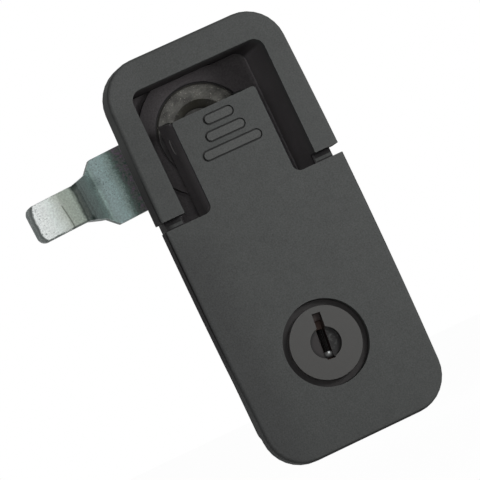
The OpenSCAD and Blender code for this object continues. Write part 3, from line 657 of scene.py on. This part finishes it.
@surface("Dull black cylinder body", rough=(0.55, 0.75), specular=0.2, grain=(0.7, 0.9))
def barrel_black(t):
    """The body's face lies deep in the groove round the plug; its dark colour is painted shade."""
    return t.tinted((0.018, 0.0165, 0.0165))


@surface("Raw die-cast zinc", metallic=0.15, specular=0.3, grain=(0.6, 1.3), bump=(0.08, 0.9))
def raw_casting(t):
    """Grainy uncoated zinc with stains and painted glints on its grains, painted light growing to the right, a
    darker hollow, and painted shadow below the lever's end.
    """
    x, y, z = t.axes_from(SPINDLE)
    # Painted light, growing from left to right
    light = t.times(t.tone, t.ramp(x, -9, 6, 0.72, 1.3))
    stain = t.spread(t.noise(420.0, 5.0, 0.65), 0.38, 0.62, 0.45, 0.85)
    dirty = t.blend(stain, t.tinted(settings().finishes.raw_zinc, light), (0.026, 0.0245, 0.023))
    # A darker hollow by the lever's end
    ragged = t.times(t.minus(t.noise(420.0), 0.5), 3.4 * MM)
    hollow = t.spot(t.plus(x, ragged), t.plus(z, ragged), (0.1, 3.6), 3.6, 5.4)
    # Darker deep down in the hollow
    deep_tone = t.blend(t.ramp(y, 12.8, 13.2), (0.034, 0.032, 0.025), (0.0125, 0.0118, 0.0098))
    dark_hollow = t.blend(t.times(hollow, 0.92), dirty, deep_tone)
    # Painted shadow of the lever below its end
    below = t.ramp(z, 4.0, 3.0)
    shadowed = t.blend(below, dark_hollow, (0.04, 0.037, 0.038))
    # Painted glints on the grains, left out of the hollow and the painted shadow
    painted_glints = t.times(t.spread(t.noise(2600.0, 1.0), 0.66, 0.73, 0.0, 0.3),
                      t.minus(1.0, hollow), t.minus(1.0, below))
    t.join(t.spread(stain, 0.45, 0.85, 0.45, 0.65), t.shader["Roughness"])
    return t.blend(painted_glints, shadowed, (0.4, 0.39, 0.33))


@surface("Old grease round the disc with painted fill", rough=(0.62, 0.78), specular=0.2, grain=(0.5, 0.6))
def grease_with_fill(t):
    """Dark grease with painted light low down beside the lever's skirt, to lift the shade there."""
    z = t.axes()[2]
    return t.tinted(t.blend(t.spread(z, SPINDLE.z + 3.5 * MM, SPINDLE.z + 1.0 * MM),
                            (0.02, 0.0195, 0.02), (0.066, 0.061, 0.0635)))


@surface("Peened steel pin", rough=(0.42, 0.58), specular=0.2, grain=(0.3, 0.8), bump=(0.01, 0.4))
def peened_pin(t):
    """Greasy steel with a painted glint: a bright streak down the middle of each end."""
    off_glint = t.math("ABSOLUTE", t.minus(t.axes()[1], PIN.y + 0.3 * MM))
    return t.tinted(t.blend(t.ramp(off_glint, 0.75, 0.35), (0.11, 0.105, 0.106), (0.62, 0.61, 0.6)))


# How far below the spindle's axis the pad's lower edge passes, in mm
LOWER_EDGE = 6.4
# Tones of the cam's plating with painted light and shade, dark in the housing's shade and bright at the tip: how
# far from the spindle's axis in mm, and a tone of the plate
CAM_SHADED_TONES = ((18.0, (0.165, 0.175, 0.168)), (19.2, (0.14, 0.165, 0.155)), (20.1, (0.17, 0.25, 0.22)),
             (21.4, (0.38, 0.5, 0.48)), (22.6, (0.47, 0.63, 0.62)), (24.6, (0.48, 0.62, 0.62)),
             (25.6, (0.4, 0.52, 0.51)), (26.4, (0.46, 0.61, 0.575)), (27.2, (0.55, 0.73, 0.69)),
             (28.6, (0.5, 0.63, 0.6)), (30.4, (0.48, 0.58, 0.56)), (32.6, (0.42, 0.5, 0.47)),
             (33.4, (0.45, 0.51, 0.455)), (34.2, (0.49, 0.57, 0.495)), (37.2, (0.46, 0.52, 0.45)),
             (38.4, (0.485, 0.525, 0.475)), (41.0, (0.72, 0.78, 0.75)), (43.0, (0.8, 0.84, 0.82)),
             (46.9, (0.8, 0.83, 0.82)))
# Dark lines across the crank: how far along the cam in mm, and how strong
CAM_LINES = ((31.0, 0.25), (32.1, 0.35), (33.6, 0.45))
# Dark blots of painted shade: X and Z from the spindle's axis in mm, inner and outer radius, and how strong
CAM_BLOTS = ((-33.1, 3.8, 0.5, 1.9, 0.85), (-26.4, 1.6, 0.3, 2.3, 0.4), (-31.9, -6.3, 0.2, 1.1, 0.85))


def cam_shaded_tones(t, along):
    """The plating's colour, with painted light and shade, at a place along the cam."""
    ramp = t.add("ShaderNodeValToRGB")
    near, far = CAM_SHADED_TONES[0][0], CAM_SHADED_TONES[-1][0]
    stops = ramp.color_ramp.elements
    while len(stops) < len(CAM_SHADED_TONES):
        stops.new(0.5)
    for stop, (mm, tone) in zip(stops, CAM_SHADED_TONES):
        stop.position = (mm - near) / (far - near)
        stop.color = (*tone, 1)
    t.join(t.ramp(along, near, far), ramp.inputs[0])
    return ramp.outputs[0]


@surface("Blue-white zinc plating", rough=(0.32, 0.52), metallic=0.35, grain=(0.5, 1.1))
def zinc_plating(t):
    """Plating in tones along the cam, with painted shade by the housing and on the crank, creases at the crank,
    and painted light at the tip.
    """
    x, _, z = t.axes_from(SPINDLE, -CAM_LEAN)
    fine, wave = t.minus(t.noise(2300.0, 2.0), 0.5), t.minus(t.noise(230.0, 2.0), 0.5)
    blotch = t.noise(1000.0)
    away = t.times(x, -1.0)
    along = t.plus(away, t.plus(t.times(fine, 2.6 * MM), t.times(wave, 3.0 * MM)))
    uneven = t.plus(away, t.times(wave, 1.5 * MM))
    # How far along the cam and above the spindle's axis, in mm
    wide, high = t.times(x, -1.0 / MM), t.times(z, 1.0 / MM)
    # Painted shade by the housing, mottled purple and green
    housing_shade = t.ramp(along, 18.5, 20.3, 0.75, 0.0)
    colour = cam_shaded_tones(t, along)
    for least, most, tone in ((0.52, 0.6, (0.24, 0.15, 0.24)), (0.46, 0.38, (0.05, 0.13, 0.095))):
        colour = t.blend(t.times(housing_shade, t.spread(blotch, least, most)), colour, tone)
    # The crank: a dark band of painted shade, lines across it and blots of painted shade
    colour = t.blend(t.times(t.between(uneven, 32.3, 33.8, 0.3), 0.42), colour, (0.1, 0.13, 0.13))
    for middle, strength in CAM_LINES:
        line = t.between(uneven, middle - 0.08, middle + 0.08, 0.16)
        colour = t.blend(t.times(line, strength), colour, (0.05, 0.075, 0.07))
    for blot_x, blot_z, inner, outer, strength in CAM_BLOTS:
        blot = t.spot(x, z, (blot_x, blot_z), inner, outer)
        colour = t.blend(t.times(blot, strength), colour, (0.045, 0.075, 0.065))
    # Painted shade on the rounded tip's end and on the pad's lower edge, where the plating is not metallic
    corner = t.most(t.minus(t.math("ABSOLUTE", t.plus(high, 1.4)), 2.2), 0.0)
    reach = t.plus(wide, wave, t.times(corner, corner, 0.13))
    tip = t.times(t.spread(reach, 45.6, 46.0, 0.0, 0.92), t.spread(reach, 46.3, 47.0, 1.0, 0.75))
    colour = t.blend(tip, colour, (0.02, 0.036, 0.03))
    lower_edge_shade = t.times(t.spread(high, 0.5 - LOWER_EDGE, 0.25 - LOWER_EDGE, 0.0, 0.85),
                    t.spread(wide, 33.0, 36.0), t.spread(blotch, 0.4, 0.46, 0.2, 1.0))
    colour = t.blend(lower_edge_shade, colour, (0.03, 0.05, 0.042))
    t.join(t.spread(t.most(tip, lower_edge_shade), 0.0, 1.0, 0.35, 0.0), t.shader["Metallic"])
    # The curved crease where the pad's flat begins
    drop = t.plus(high, 6.1)
    bend = t.minus(t.minus(wide, 37.55), t.times(drop, drop, 0.014))
    crease = t.times(t.spread(t.math("ABSOLUTE", bend), 0.08, 0.24, 0.75, 0.0),
                     t.ramp(z, 0.5, -0.2))
    colour = t.blend(crease, colour, (0.1, 0.12, 0.09))
    edges = t.group(edge_group(), Reach=0.0005, Break_Up=0.9)[0]
    colour = t.blend(t.times(edges, 0.55), colour, (0.09, 0.125, 0.115))
    thick = t.most(t.spread(wide, 41.0, 44.0, 0.0, 0.6),
                   t.spread(t.minus(wide, high), 30.0, 26.0, 0.15, 0.55))
    specks = t.times(t.spread(t.noise(2600.0, 2.0), 0.4, 0.34), thick)
    return t.blend(specks, t.tinted(colour), (0.07, 0.095, 0.09))


@surface("Sheared edge of the plated strip", metallic=0.8, grain=(0.4, 0.8), bump=(0.03, 0.5))
def sheared_edge(t):
    """Rough, dark edges where the strip was cut, with fine lines across its thickness."""
    stretch = t.add("ShaderNodeMapping", {"Vector": t.place, "Scale": (1, 0.12, 1)})
    t.height = t.spread(t.noise(1600.0, 2.0, place=stretch.outputs[0]), 0.35, 0.65, 0.7, 1.3)
    t.join(t.spread(t.height, 0.7, 1.3, 0.4, 0.6), t.shader["Roughness"])
    return t.tinted((0.05, 0.07, 0.065), t.times(t.tone, t.height))


@surface("Zinc plating of the small parts", rough=(0.32, 0.5), metallic=0.5, bump=(0.02, 0.5))
def plated_part(t):
    """Plating with dull and bright patches."""
    bright = t.spread(t.noise(300.0, 4.0), 0.42, 0.62)
    return t.tinted(t.blend(bright, settings().finishes.plate_dull, settings().finishes.plate))


@surface("Plain steel", rough=(0.27, 0.43), metallic=1.0, grain=(0.25, 0.25), bump=(0.01, 0.4))
def steel_finish(t):
    """Plain steel with a fine grain."""
    return t.tinted(settings().finishes.steel)


@surface("Stamped brass", rough=(0.32, 0.48), metallic=1.0, grain=(0.3, 0.3), bump=(0.01, 0.4))
def brass_finish(t):
    """Brass, painted dark as the shade inside the key slot."""
    return t.tinted(settings().finishes.brass)


@surface("Matt rubber", rough=(0.72, 0.88), specular=0.25, grain=(0.6, 0.3))
def rubber_finish(t):
    """Matt black rubber with a moulded grain."""
    return t.tinted(settings().finishes.rubber)


# One operator for each piece or group of like pieces

class LOCK_OT_castings(Operator):
    """Round the edges of the housing and the lever and coat them"""
    bl_idname = "lock.castings"
    bl_label = "Coated castings"

    def execute(self, context):
        edges = settings().edges
        piece_from("housing", "case_casting", edges.cast, housing_coat(), "case", "black_paint",
                   corners=[(end_corner(ARM_END), edges.corner)])
        piece_from("lever", "lever_casting", edges.cast, lever_coat(), "lever", "black_paint",
                   corners=[(end_corner(SHOULDER), edges.corner)])
        return {"FINISHED"}


class LOCK_OT_hub(Operator):
    """Make the raw zinc hub, its cross pin and its detent"""
    bl_idname = "lock.hub"
    bl_label = "Hub"

    def execute(self, context):
        piece_from("hub", "hub_casting", settings().edges.raw, raw_casting(), "case", "raw_zinc",
                   shift=wider_disc)
        dress(grease_ring(), grease_with_fill(), "case", [])
        dress(pin_with_domed_ends(), peened_pin(), "case", ["cross_pin"])
        # The balls keep the CAD's shape and get a better finish
        balls = frame["nodes"]["detent_balls"].data.materials
        balls.clear()
        balls.append(steel_finish())
        low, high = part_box("detent_spring")
        middle, wire = (low + high) / 2, 0.2 * MM
        coils("detent_coil", [(low.x + wire, middle.y, middle.z)], steel_finish(), "case",
              ["detent_spring"], "steel", Coil_Radius=(high.y - low.y) / 2 - wire,
              Wire_Radius=wire, Length=high.x - low.x - 2 * wire, Turns=9.0,
              Turn=(0.0, pi / 2, 0.0))
        return {"FINISHED"}


def grease_ring():
    """Old grease that has crept out of the seat: a lumpy ring in the gap round the disc.

    It fills the gap beside the lever's skirts, from below a height that is measured from the axis, and so hides
    the gap's shade.
    """
    outline = [(0.45 * MM, 12.0 * MM), (0.3 * MM, 12.3 * MM), (0.45 * MM, 12.6 * MM),
               (1.4 * MM, 12.6 * MM), (1.4 * MM, 12.0 * MM)]
    front, halfway, steps = 11.3 * MM, 12.2 * MM, 96
    starts, fades = 3.5 * MM, 2.5 * MM
    obj = closed_ring("grease_ring", outline, Vector((SPINDLE.x, front, SPINDLE.z)), steps)
    for k, vertex in enumerate(obj.data.vertices):
        turn = tau * (k // len(outline)) / steps
        if vertex.co.y < halfway:
            full = min(max((SPINDLE.z + starts - vertex.co.z) / fades, 0.0), 1.0)
            lumps = 0.12 * MM * sin(5 * turn) + 0.08 * MM * sin(13 * turn + 1)
            vertex.co.y += lumps * (1 - 0.8 * full) - 0.3 * MM * full
    return settle(obj)


def wider_disc(place):
    """Moves the disc's rim out, so that only a fine line is left between it and its seat."""
    inner, outer, back, wider = 11.3 * MM, 11.9 * MM, 14 * MM, 0.3 * MM
    out = Vector((place.x - SPINDLE.x, 0, place.z - SPINDLE.z))
    if inner < out.length < outer and place.y < back:
        place += out.normalized() * wider
    return place


def pin_with_domed_ends():
    """The cross pin: its ends are peened to low domes that stand just out of the skirts."""
    low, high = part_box("cross_pin")
    middle, half, thick, proud = (low + high) / 2, (high.x - low.x) / 2, (high.z - low.z) / 2, 0.25 * MM
    dome = [(half + proud * sin(a), thick * cos(a))
            for a in (radians(15 * k) for k in range(7))]
    work = bmesh.new()
    rings = [[work.verts.new((middle.x + along, middle.y + radius * cos(a),
                              middle.z + radius * sin(a)))
              for a in (turns(48) if radius > 1e-7 else [0.0])]
             for along, radius in [(-along, radius) for along, radius in reversed(dome)] + dome]
    skin(work, rings)
    return settle(closed_form("cross_pin_peened", work))


class LOCK_OT_spindle(Operator):
    """Make the spindle with its seal and its clip"""
    bl_idname = "lock.spindle"
    bl_label = "Spindle"

    def execute(self, context):
        edge = settings().edges.turned
        piece_from("spindle", "spindle_casting", edge, plated_part(), "rotor", "raw_zinc")
        low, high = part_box("spindle_seal")
        wire = (high.y - low.y) / 2
        section = [(wire * sin(a), (high.x - low.x) / 2 - wire * (1 - cos(a)))
                   for a in turns(16)]
        dress(settle(closed_ring("seal_ring", section, (low + high) / 2)), rubber_finish(), "rotor",
              ["spindle_seal"])
        piece_from("spindle_clip", "spindle_clip_stamped", edge, steel_finish(), "rotor", "steel")
        return {"FINISHED"}


class LOCK_OT_cylinder(Operator):
    """Make the key cylinder with its plug, wafers and locking tail"""
    bl_idname = "lock.cylinder"
    bl_label = "Key cylinder"

    def execute(self, context):
        edges = settings().edges
        piece_from("key_plug", "key_plug_turned", edges.turned, plug_black(), "plug", "black_plug")
        piece_from("cylinder_body", "cylinder_body_turned", edges.turned, barrel_black(), "lever",
                   "black_plug")
        piece_from("locking_tail", "locking_tail_strip", edges.stamped, steel_finish(), "plug", "steel")
        piece_from("tail_screw", "tail_screw_turned", edges.turned, steel_finish(), "plug", "steel")
        piece_from("cylinder_clip", "cylinder_clip_stamped", edges.turned, steel_finish(), "lever",
                   "steel")
        piece_from("wafers", "wafer_stampings", 0.06 * MM, brass_finish(), "plug", "brass", segments=2)
        dress(shutter_leaf(), leaf_finish(), "plug", [])
        low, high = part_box("wafer_springs")
        wire, inset, aside, below = 0.13 * MM, 0.55 * MM, 3.14 * MM, 1.6 * MM
        foot = KEY + Quaternion((0, 1, 0), SLOT_LEAN) @ Vector((aside, 0, wire - below))
        starts = [(foot.x, low.y + inset + k * (high.y - low.y - 2 * inset) / 3, foot.z)
                  for k in range(4)]
        coils("wafer_coils", starts, steel_finish(), "plug", ["wafer_springs"], "steel",
              Coil_Radius=0.42 * MM, Wire_Radius=wire, Length=2.94 * MM, Turns=4.0,
              Turn=(0.0, SLOT_LEAN, 0.0))
        return {"FINISHED"}


def shutter_leaf():
    """The small bright lip of the sprung leaf at the lower end of the key slot."""
    work = bmesh.new()
    lean = Quaternion((0, 1, 0), SLOT_LEAN)
    columns, rows, half, thick = 10, 8, 1.0 * MM, 0.25 * MM
    top, bottom, deep = -2.2 * MM, -3.7 * MM, 1.7 * MM
    bulge_across, bulge_along = 0.35 * MM, 0.3 * MM

    def point(i, j, back):
        u, v = 2 * i / columns - 1, j / rows
        bulge = bulge_across * (1 - u * u) + bulge_along * sin(pi * v)
        spot = lean @ Vector((half * u, 0, top + (bottom - top) * v))
        return KEY.x + spot.x, FACE_Y + deep - bulge + back, KEY.z + spot.z

    sheets = [[[work.verts.new(point(i, j, back)) for i in range(columns + 1)]
               for j in range(rows + 1)] for back in (0.0, thick)]
    for sheet in sheets:
        for upper, lower in zip(sheet, sheet[1:]):
            for i in range(columns):
                work.faces.new((upper[i], upper[i + 1], lower[i + 1], lower[i]))
    border = ([(0, i) for i in range(columns)] + [(j, columns) for j in range(rows)]
              + [(rows, i) for i in range(columns, 0, -1)] + [(j, 0) for j in range(rows, 0, -1)])
    skin(work, [[sheet[j][i] for j, i in border] for sheet in sheets])
    return settle(closed_form("shutter_leaf", work))


class LOCK_OT_cam(Operator):
    """Make the plated cam, its washers, its screw and the stop plate"""
    bl_idname = "lock.cam"
    bl_label = "Cam"

    def execute(self, context):
        edges = settings().edges
        tip = (lambda place: place.x < CAD_LOW.x + 2 * MM, edges.tip)
        cam = piece_from("cam", "cam_strip", edges.stamped, zinc_plating(), "rotor", "zinc_plate",
                         corners=[tip])
        cam.data.materials.append(sheared_edge())
        for face in cam.data.polygons:
            face.material_index = 1 if abs(face.normal.y) < 0.35 else 0
        for node in ("stop_plate", "cam_washer"):
            piece_from(node, node + "_plated", edges.turned, plated_part(), "rotor", "zinc_plate")
        piece_from("cam_spring_washer", "spring_washer_wire", edges.turned, steel_finish(), "rotor",
                   "steel")
        dress(cam_screw(), plated_part(), "rotor", ["cam_screw"])
        return {"FINISHED"}


def cam_screw():
    """Hexagon screw: a head chamfered as turned bar is, over a shank with a bevelled end."""
    low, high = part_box("cam_screw")
    steps, flats = 72, (high.x - low.x) / 2 * cos(radians(30))
    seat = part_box("cam_spring_washer")[1].y
    shank, bevel, face = 3.0 * MM, 0.5 * MM, 0.94 * flats
    hexagon = [flats / cos((a + pi / 6) % (pi / 3) - pi / 6) for a in turns(steps)]
    chamfer = [high.y - (corner - face) * tan(radians(30)) for corner in hexagon]
    dimple, sunk = 0.5 * face, 0.25 * MM
    # Radius and place along the screw of each ring, where a list has a value for each point
    outline = ((shank - bevel, low.y), (shank, low.y + bevel), (shank, seat), (hexagon, seat),
               (hexagon, chamfer), (face, high.y), (1.1 * dimple, high.y), (dimple, high.y - sunk))
    work = bmesh.new()

    def at(value, k):
        return value[k] if isinstance(value, list) else value

    rings = [[work.verts.new((SPINDLE.x + at(radius, k) * cos(a + CAM_LEAN), at(along, k),
                              SPINDLE.z + at(radius, k) * sin(a + CAM_LEAN)))
              for k, a in enumerate(turns(steps))] for radius, along in outline]
    skin(work, rings)
    work.faces.new(rings[0])
    work.faces.new(rings[-1])
    return settle(closed_form("cam_screw_head", work), smooth_angle=25)


class LOCK_OT_fixings(Operator):
    """Finish the panel gasket and cut the threads of the four pillars"""
    bl_idname = "lock.fixings"
    bl_label = "Gasket and threads"

    def execute(self, context):
        piece_from("panel_gasket", "gasket_sheet", 0.2 * MM, rubber_finish(), "case", "rubber")
        bolts = next(mount["dims"] for mount in frame["record"]["mounts"]
                     if mount["name"] == "fixing_pillars")
        across, along = bolts["spacing_x_mm"] / 2 * MM, bolts["spacing_y_mm"] / 2 * MM
        top, bottom = 9.0 * MM, -2.2 * MM
        coils("pillar_threads", [(s * across, bottom, u * along) for s in (-1, 1) for u in (-1, 1)],
              raw_casting(), "case", [], "raw_zinc", Coil_Radius=bolts["hole_r_mm"] * MM,
              Wire_Radius=0.2 * MM, Length=top - bottom - 0.3 * MM, Turns=15.5,
              Turn=(-pi / 2, 0.0, 0.0))
        return {"FINISHED"}


class LOCK_OT_stage(Operator):
    """Lay the floor, light the lock and aim the camera"""
    bl_idname = "lock.stage"
    bl_label = "Stage"

    def execute(self, context):
        for make in (make_floor, make_world, make_lamps, make_camera):
            make(settings().stage)
        return {"FINISHED"}


def seen_directly(t):
    """1 for a ray that shows the background itself: to the camera, in gloss or through glass."""
    path = t.add("ShaderNodeLightPath")
    return t.most(*(path.outputs[f"Is {kind} Ray"] for kind in ("Glossy", "Transmission", "Camera")))


def make_floor(stage):
    reach, low = stage.floor_reach, CAD_LOW.z
    mesh = bpy.data.meshes.new("floor")
    mesh.from_pydata([(-reach, -reach, low), (reach, -reach, low), (reach, reach, low),
                      (-reach, reach, low)], [], [(0, 1, 2, 3)])
    material = bpy.data.materials.new("Pale floor")
    material.use_nodes = True
    t = Tree(material.node_tree)
    t.nodes.remove(t.nodes["Principled BSDF"])
    matt = t.add("ShaderNodeBsdfDiffuse", {"Color": (0.8, 0.8, 0.8, 1)}).outputs[0]
    glow = t.add("ShaderNodeEmission", {"Color": (1, 1, 1, 1)}).outputs[0]
    mix = t.add("ShaderNodeMixShader", {0: t.times(seen_directly(t), 0.98), 1: matt, 2: glow})
    t.join(mix.outputs[0], t.nodes["Material Output"].inputs["Surface"])
    mesh.materials.append(material)
    new_object("floor", mesh)


def make_world(stage):
    """Soft light from the front and from behind, and little from the sides."""
    world = bpy.data.worlds.new("Soft studio")
    bpy.context.scene.world = world
    world.use_nodes = True
    t = Tree(world.node_tree)
    ground = t.nodes["Background"].inputs
    ground["Color"].default_value = (1, 1, 1, 1)
    towards = t.dot(t.add("ShaderNodeTexCoord").outputs["Generated"], (0.3, -0.95, 0.05))
    front = t.spread(towards, -0.15, 0.8, stage.side_fill, stage.fill)
    behind = t.spread(towards, -0.4, -0.9, 0.0, stage.back_fill)
    t.join(t.most(front, behind, seen_directly(t)), ground["Strength"])


def make_lamps(stage):
    for name, place, size, power in (
            ("Key lamp", (0.165, -0.225, 0.055), 0.11, stage.key),
            ("Front lamp", (-0.23, -0.92, 0.04), 0.25, stage.front)):
        lamp = with_values(bpy.data.lights.new(name, "AREA"), shape="DISK", size=size, energy=power)
        with_values(new_object(name, lamp), location=place, rotation_mode="QUATERNION",
                    rotation_quaternion=(-Vector(place)).to_track_quat("-Z", "Y"),
                    visible_camera=False)


def make_camera(stage):
    scene, sensor = bpy.context.scene, 36
    camera = with_values(bpy.data.cameras.new("Camera"), sensor_width=sensor, clip_start=0.01,
                         clip_end=100, lens=sensor * stage.distance / stage.width)
    a, e = stage.azimuth, stage.elevation
    back = Vector((sin(a) * cos(e), -cos(a) * cos(e), sin(e)))
    turn = (-back).to_track_quat("-Z", "Y") @ Quaternion((0, 0, 1), stage.roll)
    scene.camera = with_values(
        new_object("Camera", camera), location=Vector(stage.aim) + back * stage.distance,
        rotation_mode="QUATERNION", rotation_quaternion=turn)
    scene.view_settings.view_transform = "Standard"


class LOCK_PT_sidebar(Panel):
    """Sizes, colours and steps of the lock"""
    bl_idname = "LOCK_PT_sidebar"
    bl_label = "Cabinet lock"
    bl_space_type = "VIEW_3D"
    bl_region_type = "UI"
    bl_category = "Lock"

    def draw(self, context):
        lock = context.scene.lock_settings
        for group in (lock.finishes, lock.edges, lock.stage):
            box = self.layout.box()
            box.label(text=group.bl_rna.description)
            for name in group.__annotations__:
                box.prop(group, name)
        for step in STEPS:
            self.layout.operator(step.bl_idname)


STEPS = (LOCK_OT_castings, LOCK_OT_hub, LOCK_OT_spindle, LOCK_OT_cylinder, LOCK_OT_cam,
         LOCK_OT_fixings, LOCK_OT_stage)
CLASSES = (LockFinishes, LockEdges, LockStage, LockSettings, *STEPS, LOCK_PT_sidebar)


def register():
    for cls in CLASSES:
        bpy.utils.register_class(cls)
    bpy.types.Scene.lock_settings = PointerProperty(type=LockSettings)


def unregister():
    del bpy.types.Scene.lock_settings
    for cls in reversed(CLASSES):
        bpy.utils.unregister_class(cls)


def main():
    register()
    bpy.ops.lock.castings()
    bpy.ops.lock.hub()
    bpy.ops.lock.spindle()
    bpy.ops.lock.cylinder()
    bpy.ops.lock.cam()
    bpy.ops.lock.fixings()
    bpy.ops.lock.stage()


if __name__ == "__main__":
    main()
